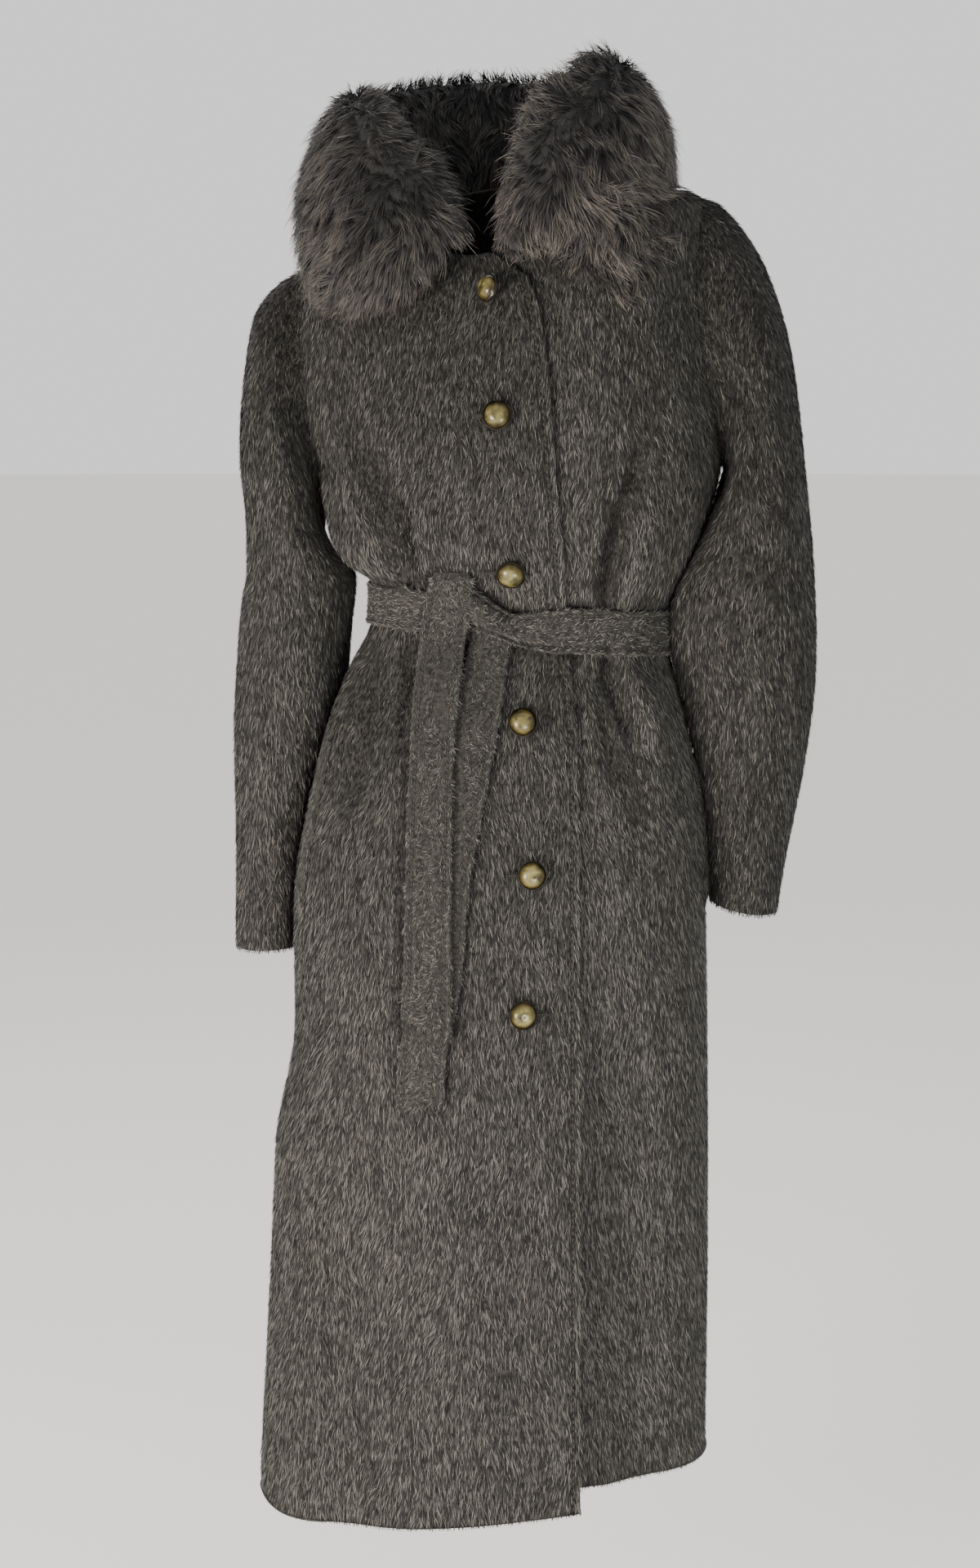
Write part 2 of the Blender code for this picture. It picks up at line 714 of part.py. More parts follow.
def surface_tree(grids):
    """A search tree over grids of points, its faces turned outwards."""
    points, faces = [], []
    for grid in grids:
        start, (rows, columns) = len(points), grid.shape[:2]
        points += [Vector(point) for point in grid.reshape(-1, 3)]
        for i in range(rows - 1):
            for j in range(columns - 1):
                a = start + i * columns + j
                faces.append((a, a + columns, a + columns + 1, a + 1))
    return BVHTree.FromPolygons(points, faces)


# ---------------------------------------------------------------- belt


def belt_rows():
    """Ring numbers of the belt's top and bottom edge and the line between."""
    return ROW["belt_top"] + np.array([0.0, 0.5, 1.0])


def belt_stretch(start, end, columns):
    """Outer and inner points of a stretch of the belt between two turns."""
    rows, turns = belt_rows(), np.linspace(start, end, columns + 1)
    turn_2d, row_2d = np.meshgrid(turns, rows)
    base, normal = body_point(turn_2d, row_2d), body_normal(turn_2d, row_2d)
    inner = base + normal * BELT_GAP * MM
    return inner + normal * BELT_THICKNESS * MM, inner


def on_front(x, z, surface):
    """The point of the front cloth at this x and z, and the outward direction there."""
    place, normal, _, _ = surface.ray_cast(Vector((x, -1.0, z)), Vector((0, 1, 0)))
    return place, normal


def tail(name, table, surface):
    """Outer and inner points of a hanging belt end, laid on the front."""
    places = np.linspace(0, len(table) - 1, 3 * (len(table) - 1) + 1)
    values = smooth_rows(table, places)
    outer, inner = [], []
    for number, (z, x, width, lift) in enumerate(values):
        last = number == len(values) - 1
        line = []
        for across in (-1, -0.33, 0.33, 1):
            slant = TAIL_SLANT[name] * across if last else 0
            line.append(on_front((x + across * width / 2) * MM, (z + slant) * MM, surface)[0])
        inner.append([point + Vector((0, -lift * MM, 0)) for point in line])
        outer.append([point + Vector((0, -(lift + BELT_THICKNESS) * MM, 0)) for point in line])
    return np.array(outer), np.array(inner)


class KnotSection(NamedTuple):
    """An upright slice of the knot, beside the tail that falls over its wearer's right half."""

    x: float
    top_z: float
    low_z: float
    depth: float
    stand: float  # how far its middle stands off the front


KNOT = (
    KnotSection(-16.0, -340, -397, 12.0, 9.4),
    KnotSection(-10.0, -343, -397.6, 14.5, 10.2),
    KnotSection(0.0, -352, -397.6, 15.5, 10.4),
    KnotSection(12.0, -361, -397, 15.0, 10.0),
    KnotSection(19.0, -366, -395, 12.0, 8.6),
    KnotSection(23.0, -371, -391, 7.0, 6.4),
)
KNOT_SIDES = 16


def knot_sections(surface):
    """Rings of the knot, standing on the front."""
    around = np.linspace(0, 2 * math.pi, KNOT_SIDES, endpoint=False)
    rings = []
    for section in KNOT:
        middle_z = (section.top_z + section.low_z) / 2
        half_height = (section.top_z - section.low_z) / 2
        middle, _ = on_front(section.x * MM, middle_z * MM, surface)
        z = middle_z + half_height * np.cos(around)
        y = middle.y / MM - section.stand + section.depth / 2 * np.sin(around)
        rings.append([Vector((section.x * MM, b * MM, a * MM)) for a, b in zip(z, y)])
    return rings


# ---------------------------------------------------------------- small pieces


def button_profile():
    """Half outline of a domed button on its shank, as (radius, height) pairs from the bottom."""
    shank = [(0.0, 0.0), (3.4, 0.0), (3.4, BUTTON_STANDING)]
    rim = [(BUTTON_RADIUS - 1.2, BUTTON_STANDING), (BUTTON_RADIUS, BUTTON_STANDING + 1.2)]
    rim.append((BUTTON_RADIUS, BUTTON_STANDING + BUTTON_RIM))
    dome = []
    for step in np.radians([12, 30, 50, 70]):
        radius = (BUTTON_RADIUS - 0.8) * math.cos(step)
        dome.append((radius, BUTTON_STANDING + BUTTON_RIM + BUTTON_DOME * math.sin(step)))
    return shank + rim + dome + [(0.0, BUTTON_STANDING + BUTTON_RIM + BUTTON_DOME)]


def add_button(number, place, surface, collection):
    """A turned button, seated on the front."""
    seat, normal = on_front(place.x * MM, place.z * MM, surface)
    mesh = bpy.data.meshes.new("button_profile")
    profile = button_profile()
    points = [(radius * MM, 0, height * MM) for radius, height in profile[::-1]]
    mesh.from_pydata(points, [(i, i + 1) for i in range(len(points) - 1)], [])
    button = bpy.data.objects.new(f"button_{number}", mesh)
    collection.objects.link(button)
    turned = button.modifiers.new("Turn", "SCREW")
    turned.steps = turned.render_steps = 14
    turned.use_merge_vertices = True
    turned.merge_threshold = 0.00002
    button.location = seat + normal * REST_GAP * MM
    facing = normal.to_track_quat("Z", "Y")
    tipped = Vector((math.sin(math.radians(place.tip)), 0, math.cos(math.radians(place.tip))))
    button.rotation_mode = "QUATERNION"
    button.rotation_quaternion = facing @ tipped.to_track_quat("Z", "Y")
    if place.tip:
        button.location += normal * BUTTON_RADIUS * MM * 0.11
    mesh.materials.append(material(BUTTON))
    return button


def welt(place):
    """Outer and inner points of a pocket welt, from the cloth's points moved out and in."""
    rows = np.linspace(row_at_z(place.top_z), row_at_z(place.low_z), 7)
    turns = np.radians(np.linspace(place.top_turn, place.low_turn, 7))
    width = WELT_WIDTH / 2 / 165.0
    turn_2d = turns[:, None] + np.array([-width, 0, width])
    row_2d = np.broadcast_to(rows[:, None], turn_2d.shape)
    base, normal = body_point(turn_2d, row_2d), body_normal(turn_2d, row_2d)
    return base + normal * (FORM_GAP + WELT_THICKNESS) * MM, base - normal * WALL * MM


# ---------------------------------------------------------------- the coat


def build_coat():
    """Builds every piece of the coat."""
    clear_scene()
    coat = bpy.data.collections.new("coat")
    cutters = bpy.data.collections.new("cutters")
    for collection in (coat, cutters):
        bpy.context.scene.collection.children.link(collection)

    fronts = {"front_right": front_panel(-1), "front_left": front_panel(1)}
    back = back_panel()
    for name, panel in {**fronts, "back": back}.items():
        for word, (outer, inner) in at_the_belt(*panel).items():
            add_object(f"{name}_{word}", walled(outer, inner), CLOTH, coat)
    surface = surface_tree([fronts["front_right"][0], fronts["front_left"][0], back[0]])

    for side, word in ((-1, "right"), (1, "left")):
        for piece, first in (("upper", -SLEEVE_SEAM), ("under", SLEEVE_SEAM)):
            last = SLEEVE_SEAM if piece == "upper" else 360 - SLEEVE_SEAM
            outer, inner = sleeve_piece(side, first, last)
            add_object(f"sleeve_{word}_{piece}", walled(outer, inner), CLOTH, coat)

    shoulders = add_object("shoulder_form", lofted(shoulder_form()), CLOTH, cutters)
    for side, word, table in ((-1, "right", COLLAR_RIGHT), (1, "left", COLLAR_LEFT)):
        arm = add_object(f"arm_form_{word}", lofted(arm_form(side)), CLOTH, cutters)
        collar = add_object(f"collar_{word}", lofted(collar_sections(side, table)), FUR, coat)
        cut(collar, (shoulders, arm))

    middle = belt_rows()[1]
    right_end, left_end = turn_at_x(BELT_RIGHT_END_X, middle), turn_at_x(BELT_LEFT_END_X, middle)
    gap = SEAM_GAP * MM / 0.12
    quarter = math.pi / 2
    stretches = {
        "belt_right": (-quarter, right_end, 14),
        "belt_left": (left_end, quarter, 14),
        "belt_back": (quarter + gap, 3 * quarter - gap, 26),
    }
    for name, (start, end, columns) in stretches.items():
        add_object(name, walled(*belt_stretch(start, end, columns)), CLOTH, coat)
    for name, table in (("belt_tail_upper", TAIL_UPPER), ("belt_tail_under", TAIL_UNDER)):
        add_object(name, walled(*tail(name, table, surface)), CLOTH, coat)
    add_object("belt_knot", lofted(knot_sections(surface)), CLOTH, coat)

    for place in WELTS:
        panel = add_object(f"{place.name}_form", panel_form(*fronts[place.panel]), CLOTH, cutters)
        cut(add_object(place.name, walled(*welt(place)), CLOTH, coat), (panel,))
    for number, place in enumerate(BUTTONS, 1):
        add_button(number, place, surface, coat)

    for cutter in cutters.objects:
        cutter.hide_render = True
        cutter.display_type = "WIRE"


build_coat()
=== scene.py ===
"""The looks of a long belted pile-cloth coat with a large fur collar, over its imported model.

Tables and sizes are in millimetres and degrees, and what the methods hand on is in metres. The
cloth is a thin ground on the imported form, and its pile and the collar's fur are joined hairs.
"""

from __future__ import annotations

import logging
import math
from dataclasses import dataclass, field, replace
from enum import Enum
from typing import Callable, NamedTuple, Sequence, TypeVar

import bpy
import numpy as np
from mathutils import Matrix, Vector
from mathutils.bvhtree import BVHTree


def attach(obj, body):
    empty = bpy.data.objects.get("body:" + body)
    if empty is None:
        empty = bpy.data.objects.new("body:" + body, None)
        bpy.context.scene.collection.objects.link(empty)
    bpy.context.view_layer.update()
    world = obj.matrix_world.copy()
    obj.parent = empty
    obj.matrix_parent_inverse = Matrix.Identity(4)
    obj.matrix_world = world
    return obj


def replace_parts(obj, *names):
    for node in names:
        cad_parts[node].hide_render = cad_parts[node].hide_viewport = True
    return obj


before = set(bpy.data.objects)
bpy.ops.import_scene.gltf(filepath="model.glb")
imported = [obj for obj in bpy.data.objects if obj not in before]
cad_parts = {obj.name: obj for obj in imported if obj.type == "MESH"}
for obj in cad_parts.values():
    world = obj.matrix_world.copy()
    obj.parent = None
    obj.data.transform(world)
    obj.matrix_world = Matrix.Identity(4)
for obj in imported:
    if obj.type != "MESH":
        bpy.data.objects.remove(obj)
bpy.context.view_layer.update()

LOG = logging.getLogger("coat")
Array, Random = np.ndarray, np.random.Generator
Piece, Socket = bpy.types.Object, bpy.types.NodeSocket
Row = TypeVar("Row", bound=tuple)
Colour = tuple[float, float, float]
Stops = tuple[tuple[float, Colour], ...]
Pairs = tuple[tuple[float, float], ...]
MM = 0.001
SLOPE_STEP = 1e-3  # the turn or row between two points that give a slope
STITCH_LINE = 7.0  # mm inside a finished edge
FRONT_STITCH = (4.0, 5.6)  # the front edge's stitch and its pitch
NO_EDGE = 999.0  # the distance to an edge or a seam that a piece does not have
CLOTH_SLOT, FUR_SLOT, BUTTON_SLOT = "alpaca_pile", "collar_fur", "button_shell"
HAIR_MAP = "OFBake"  # the hairs' own map: across is the hair's tone, up is the way along it
CLOTH_MAP = "cloth"


class Side(Enum):
    """A side of the wearer, by the sign of its X."""

    RIGHT = -1
    LEFT = 1


class Hold(Enum):
    """How a piece of cloth is held."""

    HUNG = "hung"
    STRETCHED = "stretched"


# ---- tables of the form


def rows_of(kind: type[Row], *rows: tuple) -> tuple[Row, ...]:
    """A table whose rows are all of one kind."""
    return tuple(kind(*row) for row in rows)


class BodyRing(NamedTuple):
    """One level ring of the body cloth, its outer side."""

    name: str
    z_side: float
    z_front: float
    z_back: float
    mid_x: float
    mid_y: float
    half_width: float
    front_depth: float
    back_depth: float
    turn: float
    lean: float
    squareness: float
    lap_x: float


BODY = rows_of(
    BodyRing,
    ("neck", 0, -56, 10, 0, 0, 74, 86, 62, -8, 0.10, 2.1, 22),
    ("collar_seat", -8, -78, -10, 2, 2, 104, 98, 84, -10, 0.13, 2.2, 28),
    ("yoke", -20, -102, -38, 5, 3, 140, 108, 102, -11, 0.155, 2.3, 34),
    ("shoulder_tip", -36, -128, -75, 9, 3, 175, 116, 114, -12, 0.164, 2.4, 41),
    ("blade", -105, -165, -125, 13, 2, 178, 124, 120, -11, 0.15, 2.5, 48),
    ("chest", -175, -205, -182, 20, 0, 177, 130, 120, -10, 0.13, 2.6, 52),
    ("armpit", -250, -255, -250, 29, -2, 174, 128, 114, -9, 0.12, 2.6, 56),
    ("ribs", -292, -296, -294, 27, -1, 166, 124, 108, -7, 0.06, 2.5, 61),
    ("blouse", -325, -326, -326, 25, 2, 151, 117, 101, -6, -0.02, 2.4, 64),
    ("belt_top", -349, -349, -349, 29, 4, 134, 103, 93, -5, -0.08, 2.3, 67),
    ("belt_low", -389, -389, -389, 27, 4, 134, 103, 93, -4, -0.09, 2.3, 69),
    ("flare", -425, -425, -425, 22, 2, 148, 116, 106, -2, -0.07, 2.3, 74),
    ("hip_top", -475, -475, -475, 17, 0, 163, 127, 120, 3, -0.05, 2.3, 77),
    ("hip", -545, -545, -545, 14, -2, 178, 136, 132, 6, -0.02, 2.3, 78),
    ("seat", -620, -620, -620, 9, -3, 185, 143, 142, 8, 0.0, 2.3, 78),
    ("thigh", -760, -760, -760, 10, -4, 187, 151, 150, 9, 0.0, 2.4, 79),
    ("knee", -950, -950, -950, 6, -4, 194, 160, 158, 10, 0.02, 2.4, 80),
    ("hem", -1145, -1145, -1145, -2, -4, 202, 169, 166, 11, 0.04, 2.5, 81),
)
ROW = {ring.name: number for number, ring in enumerate(BODY)}
TIP, ARMPIT, HEM = ROW["shoulder_tip"], ROW["armpit"], ROW["hem"]


class Fold(NamedTuple):
    """A soft ridge (+) or trough (-) in the body cloth, straight between its two ends."""

    on_back: bool
    top_x: float
    top_z: float
    low_x: float
    low_z: float
    width: float
    height: float


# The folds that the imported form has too, and then the sharper creases over them.
FOLDS = rows_of(
    Fold,
    (False, -108, -212, -76, -332, 13, -13),
    (False, -132, -225, -104, -326, 16, 9),
    (False, 113, -262, 101, -338, 10, -10),
    (False, 140, -268, 128, -336, 16, 5),
    (False, 99, -404, 112, -500, 11, -10),
    (False, 128, -406, 140, -520, 15, 6),
    (False, -94, -408, -130, -530, 18, -7),
    (False, 126, -700, 150, -1200, 34, -15),
    (False, -165, -760, -176, -1200, 38, 20),
    (False, -120, -760, -128, -1200, 30, -6),
    (True, -70, -230, -56, -334, 13, -9),
    (True, 118, -236, 106, -336, 13, -10),
    (True, 28, -250, 30, -336, 16, 6),
    (True, -62, -418, -88, -620, 16, -9),
    (True, 102, -418, 122, -640, 16, -9),
    (True, 10, -640, 6, -1200, 36, -9),
)
CREASES = rows_of(
    Fold,
    (False, -48, -285, -44, -336, 7, -3.0),
    (False, 52, -292, 56, -338, 6, -2.2),
    (False, 84, -280, 82, -340, 7, -3.0),
    (False, -82, -262, -75, -336, 6, -20.0),
    (False, -150, -226, -88, -326, 11, -9.0),
    (False, -120, -256, -87, -332, 9, 5.0),
    (False, 126, -225, 101, -352, 7, -17.0),
    (False, 134, -250, 116, -346, 9, 5.0),
    (False, 150, -150, 118, -262, 12, -4.0),
    (False, -138, -150, -118, -215, 12, -2.5),
    (False, 101, -386, 126, -470, 5.5, -17.0),
    (False, 127, -463, 132, -540, 9, -8.0),
    (False, 113, -392, 145, -470, 10, 4.0),
    (False, -96, -390, -124, -520, 11, -9.0),
    (False, -70, -380, -80, -470, 7.5, -12.0),
    (False, 48, -402, 46, -446, 6, -2.0),
    (False, 74, -402, 78, -470, 7, -3.0),
    (False, -70, -520, -64, -1150, 30, -2.5),
    (False, 100, -560, 104, -1150, 24, -3.0),
    (True, -98, -284, -92, -338, 8, -3.0),
    (True, -20, -290, -18, -338, 7, -2.5),
    (True, 74, -288, 72, -338, 7, -2.5),
    (True, -26, -402, -30, -470, 7, -2.5),
    (True, 50, -402, 56, -480, 8, -3.0),
    (True, 140, -140, 108, -250, 14, -3.0),
)


class SleeveRing(NamedTuple):
    """One ring of a sleeve: the points furthest from and nearest to the body, and its depth."""

    outer_x: float
    outer_z: float
    inner_x: float
    inner_z: float
    mid_y: float
    half_depth: float


RIGHT_SLEEVE = rows_of(
    SleeveRing,
    (-184, -73, -146, -277, 33, 70),
    (-207, -100, -148, -288, 33, 73),
    (-218, -150, -147, -300, 33, 74),
    (-224, -222, -138, -316, 33, 73),
    (-219, -298, -121, -336, 33, 71),
    (-227, -385, -125, -385, 35, 68),
    (-233, -470, -132, -464, 39, 64),
    (-233, -575, -150, -568, 43, 57),
    (-235, -676, -166, -672, 46, 51),
)
LEFT_SLEEVE = rows_of(
    SleeveRing,
    (203, -16, 204, -238, -33, 70),
    (235, -60, 206, -250, -32, 73),
    (260, -132, 204, -268, -29, 75),
    (276, -240, 192, -306, -23, 75),
    (287, -340, 172, -358, -14, 73),
    (290, -424, 170, -428, -6, 70),
    (281, -505, 178, -498, -3, 64),
    (266, -587, 192, -577, -4, 57),
    (259, -634, 198, -626, -6, 52),
)
ARMHOLE_REACH = 16.0  # degrees of turn from its middle to its front or back
ARMHOLE_ROUND = 0.9
ARMHOLE_EVEN = 0.5
ARMHOLE_DEPTH = 70.0
ARMHOLE_SWELL = 2.6  # how far the cloth stands out along its armhole seam
ARMHOLE_WIDTH = 9.0
SLEEVE_SEAM = 105.0  # degrees from the sleeve's outermost line
SLEEVE_CLEAR = 2.5  # mm between a sleeve and the body
SLEEVE_JOIN = 3.0  # rows over which a sleeve leaves the armhole's shape
SLEEVE_RADIUS = 65.0
SLEEVE_ROW = 80.0  # mm from row to row
DEGREE_ROUND = 1.1  # mm round a sleeve in a degree
SIDE_TURNS = np.radians(np.linspace(35, 145, 23))  # where a sleeve may meet the body
BODY_ROW = 60.0  # mm from ring to ring beside the sleeves


class SleeveCrease(NamedTuple):
    """A soft trough across a sleeve, between two places given by angle and row."""

    side: Side
    angle: float
    row: float
    end_angle: float
    end_row: float
    width: float
    height: float


SLEEVE_CREASES = rows_of(
    SleeveCrease,
    (Side.RIGHT, 62, 1.6, 48, 5.2, 13, -5),
    (Side.RIGHT, 118, 3.6, 70, 4.9, 10, -4),
    (Side.RIGHT, 150, 4.6, 84, 5.8, 10, -4),
    (Side.RIGHT, 20, 5.2, -40, 5.9, 12, -3),
    (Side.RIGHT, -60, 3.2, -110, 4.6, 12, -4),
    (Side.LEFT, 96, 1.2, 112, 4.0, 16, -9),
    (Side.LEFT, 128, 4.0, 62, 4.9, 11, -8),
    (Side.LEFT, 134, 4.8, 74, 5.5, 10, -7),
    (Side.LEFT, 60, 3.6, 26, 4.3, 11, -3),
    (Side.LEFT, 104, 5.8, 88, 7.4, 11, -3),
    (Side.LEFT, -70, 3.4, -116, 4.6, 12, -4),
    (Side.LEFT, 180, 1.5, 180, 6.3, 62, 25),
    (Side.LEFT, -96, 1.4, -112, 3.6, 15, -6),
)


class CollarSection(NamedTuple):
    """A slice of the collar: its upper and lower end, by turn from the front about the neck."""

    turn: float
    top_radius: float
    top_z: float
    low_radius: float
    low_z: float
    thickness: float


COLLAR_RIGHT = rows_of(
    CollarSection,
    (9, 116, -34, 120, -50, 14),
    (16, 116, 8, 124, -58, 40),
    (25, 116, 32, 130, -86, 58),
    (38, 116, 50, 140, -104, 68),
    (54, 114, 78, 150, -110, 76),
    (72, 108, 88, 152, -98, 80),
    (92, 104, 90, 146, -56, 82),
    (120, 104, 98, 146, -40, 80),
    (150, 106, 110, 146, -50, 78),
    (180, 106, 116, 146, -66, 78),
)
COLLAR_LEFT = rows_of(
    CollarSection,
    (2, 116, -28, 120, -50, 14),
    (10, 116, 38, 126, -66, 42),
    (19, 116, 84, 130, -60, 58),
    (32, 116, 98, 134, -60, 68),
    (46, 114, 116, 142, -98, 76),
    (64, 110, 118, 138, -80, 80),
    (88, 104, 104, 138, -22, 82),
    (120, 104, 104, 142, -20, 80),
    (150, 106, 112, 146, -40, 78),
    (180, 106, 116, 146, -66, 78),
)
COLLAR_SQUARENESS = 2.1
SHRINK_HEIGHT, SHRINK_DEPTH = 0.45, 0.22  # the most that a lobe shrinks, of its half height and its depth

# ---- smooth tables and ripples


def between(rows: Sequence[Row], places: Array) -> Row:
    """Reads a table between its rows.

    Args:
        rows: the table.
        places: fractional row numbers.

    Returns:
        A row with arrays for its numbers, on a smooth curve through the rows.
    """
    names = [value for value in rows[0] if isinstance(value, str)]
    table = np.array([row[len(names) :] for row in rows], float)
    places = np.clip(np.asarray(places, float), 0, len(table) - 1)
    first = np.minimum(places.astype(int), len(table) - 2)
    t = (places - first)[..., None]
    before, start = table[np.maximum(first - 1, 0)], table[first]
    end, after = table[first + 1], table[np.minimum(first + 2, len(table) - 1)]
    bend = (2 * before - 5 * start + 4 * end - after) * t + (3 * start - before - 3 * end + after) * t * t
    return type(rows[0])(*names, *np.moveaxis(start + 0.5 * t * (end - before + bend), -1, 0))


def smooth_step(t: Array) -> Array:
    """0 before 0, 1 after 1, and an even slope between."""
    t = np.clip(t, 0, 1)
    return t * t * (3 - 2 * t)


def faded(share: Array, past: float, ramp: float) -> Array:
    """1 along a crease, whose ends are at 0 and 1, and 0 from this far past them."""
    return smooth_step((share + past) / ramp) * smooth_step((1 + past - share) / ramp)


def hump(away: Array, width: float) -> Array:
    """1 at 0, and less the further away, over this width."""
    return np.exp(-((away / width) ** 2))


def run_along(points: Array, axis: int) -> Array:
    """How far along this axis each point of a grid or path is, in metres."""
    steps = np.diff(points, axis=axis, prepend=np.take(points, [0], axis))
    return np.linalg.norm(steps, axis=-1).cumsum(axis)


def unit(vectors: Array) -> Array:
    """The vectors at length 1."""
    return vectors / np.maximum(np.linalg.norm(vectors, axis=-1, keepdims=True), 1e-12)


@dataclass
class Ripples:
    """Smooth, seeded ups and downs through space, mostly between -1 and 1."""

    size: float  # mm from crest to crest
    seed: int
    upright: float = 1.0  # how much longer they are along Z
    waves: int = 9

    def at(self, points: Array) -> Array:
        """The height of the ripples at points in metres."""
        rng = np.random.default_rng(self.seed)
        ways = unit(rng.normal(size=(self.waves, 3))) * np.array([1, 1, 1 / self.upright])
        ways *= rng.uniform(0.6, 1.5, (self.waves, 1)) * 2 * math.pi / (self.size * MM)
        heights = np.sin(points @ ways.T + rng.uniform(0, 2 * math.pi, self.waves))
        return heights.sum(-1) / math.sqrt(self.waves / 2)


# ---- the cloth's form


def fold_height(x: Array, z: Array, on_front: Array) -> Array:
    """How far the folds push the body cloth out, in mm.

    Args:
        x: places across, in mm.
        z: places up, in mm.
        on_front: 1 on the front, 0 on the back.

    Returns:
        The height of the folds there.
    """
    height = np.zeros_like(x)
    for fold in FOLDS + CREASES:
        along = (z - fold.top_z) / (fold.low_z - fold.top_z)
        across = x - fold.top_x - (fold.low_x - fold.top_x) * np.clip(along, 0, 1)
        side = 1 - on_front if fold.on_back else on_front
        height = height + fold.height * hump(across, fold.width) * faded(along, 0.12, 0.3) * side
    return height


def body_point(turn: Array, row: Array) -> Array:
    """The body cloth's outer surface.

    Args:
        turn: the turn from the front, in radians.
        row: a fractional ring number.

    Returns:
        Points in metres.
    """
    turn, row = np.broadcast_arrays(np.asarray(turn, float), np.asarray(row, float))
    ring = between(BODY, row)
    forward, sideways = np.cos(turn), np.sin(turn)
    depth = np.where(forward > 0, ring.front_depth, ring.back_depth)
    square = ring.squareness
    reach = (np.abs(forward / depth) ** square + np.abs(sideways / ring.half_width) ** square) ** (-1 / square)
    z = ring.z_side + (np.where(forward > 0, ring.z_front, ring.z_back) - ring.z_side) * forward**2
    twist = np.radians(ring.turn)
    on_front = smooth_step(forward * 4 + 0.5)
    for pushed in (False, True):
        x, y = reach * sideways, -reach * forward
        place_x = ring.mid_x + x * np.cos(twist) - y * np.sin(twist)
        if not pushed:
            reach = reach + fold_height(place_x, z + ring.lean * x, on_front)
    place_y = ring.mid_y + x * np.sin(twist) + y * np.cos(twist)
    return np.stack([place_x, place_y, z + ring.lean * x], -1) * MM


def turn_at_x(place_x: Array, row: Array) -> Array:
    """The turn at which the front of a ring reaches this x, in mm."""
    ring = between(BODY, row)
    twist, depth = np.radians(ring.turn), ring.front_depth
    return np.arctan2((place_x - ring.mid_x - depth * np.sin(twist)) / np.cos(twist), depth)


def lap_turn(rows: Array, extra: float = 0.0) -> Array:
    """The turn of the overlapping front's edge, or of a line beside it."""
    return turn_at_x(between(BODY, rows).lap_x + extra, rows)


def row_at_z(z: Array) -> Array:
    """The ring number whose side height is z, in mm."""
    return np.interp(-z, [-ring.z_side for ring in BODY], range(len(BODY)))


def armhole_row(angle: Array) -> Array:
    """The ring number of the armhole's edge; angle 0 is the shoulder tip, pi the armpit."""
    turned = np.arccos(np.cos(angle))
    share = ARMHOLE_EVEN * turned / math.pi + (1 - ARMHOLE_EVEN) * (1 - np.cos(turned)) / 2
    return TIP + (ARMPIT - TIP) * share


def armhole(side: Side, angle: Array) -> tuple[Array, Array]:
    """The turn and the row of the armhole's edge."""
    angle = np.asarray(angle, float)
    reach = np.radians(ARMHOLE_REACH) * np.sign(np.sin(angle)) * np.abs(np.sin(angle)) ** ARMHOLE_ROUND
    return side.value * (math.pi / 2 - reach), armhole_row(angle)


def sleeve_point(side: Side, angle: Array, row: Array) -> Array:
    """A sleeve's outer surface.

    Args:
        side: which sleeve.
        angle: 0 is its outermost line, pi / 2 its front.
        row: 0 is the armhole's edge, and the last ring is the cuff.

    Returns:
        Points in metres, clear of the body beside them.
    """
    angle, row = np.broadcast_arrays(np.asarray(angle, float), np.asarray(row, float))
    tip, pit = body_point(*armhole(side, 0.0)) / MM, body_point(*armhole(side, math.pi)) / MM
    start = SleeveRing(tip[0], tip[2], pit[0], pit[2], (tip[1] + pit[1]) / 2, ARMHOLE_DEPTH)
    rows = (start,) + (RIGHT_SLEEVE if side is Side.RIGHT else LEFT_SLEEVE)

    def oval(at: Array, pushed: Array) -> Array:
        """The plain ring at this row, its points pushed out by some mm."""
        ring = between(rows, at)
        half_x, half_z = (ring.outer_x - ring.inner_x) / 2, (ring.outer_z - ring.inner_z) / 2
        x = (ring.outer_x + ring.inner_x) / 2 + half_x * np.cos(angle) * (1 + pushed / np.hypot(half_x, half_z))
        z = (ring.outer_z + ring.inner_z) / 2 + half_z * np.cos(angle)
        return np.stack([x, ring.mid_y - (ring.half_depth + pushed) * np.sin(angle), z], -1) * MM

    pushed = np.zeros_like(row)
    for crease in SLEEVE_CREASES:
        if crease.side is side:
            swing, run = crease.end_angle - crease.angle, crease.end_row - crease.row
            along = (row - crease.row) / run
            slant = math.hypot(1, swing * DEGREE_ROUND / (run * SLEEVE_ROW))
            off = (np.degrees(angle) - crease.angle - swing * np.clip(along, 0, 1) + 180) % 360 - 180
            across = np.radians(off) * SLEEVE_RADIUS / slant
            pushed = pushed + crease.height * hump(across, crease.width) * faded(along, 0.2, 0.5)
    edge = body_point(*armhole(side, angle)) - oval(np.zeros_like(row), np.zeros_like(row))
    kept = 1 - smooth_step(row / SLEEVE_JOIN)
    return clear_of_body(oval(row, pushed) + edge * kept[..., None], side, row)


def near_armhole(points: Array) -> Array:
    """How near (0 to 1) points are to an armhole's edge."""
    angle = np.linspace(-math.pi, math.pi, 90)
    edges = np.concatenate([body_point(*armhole(side, angle)) for side in Side])
    away = np.min([np.linalg.norm(points - edge, axis=-1) for edge in edges], 0)
    return hump(away / MM, ARMHOLE_WIDTH)


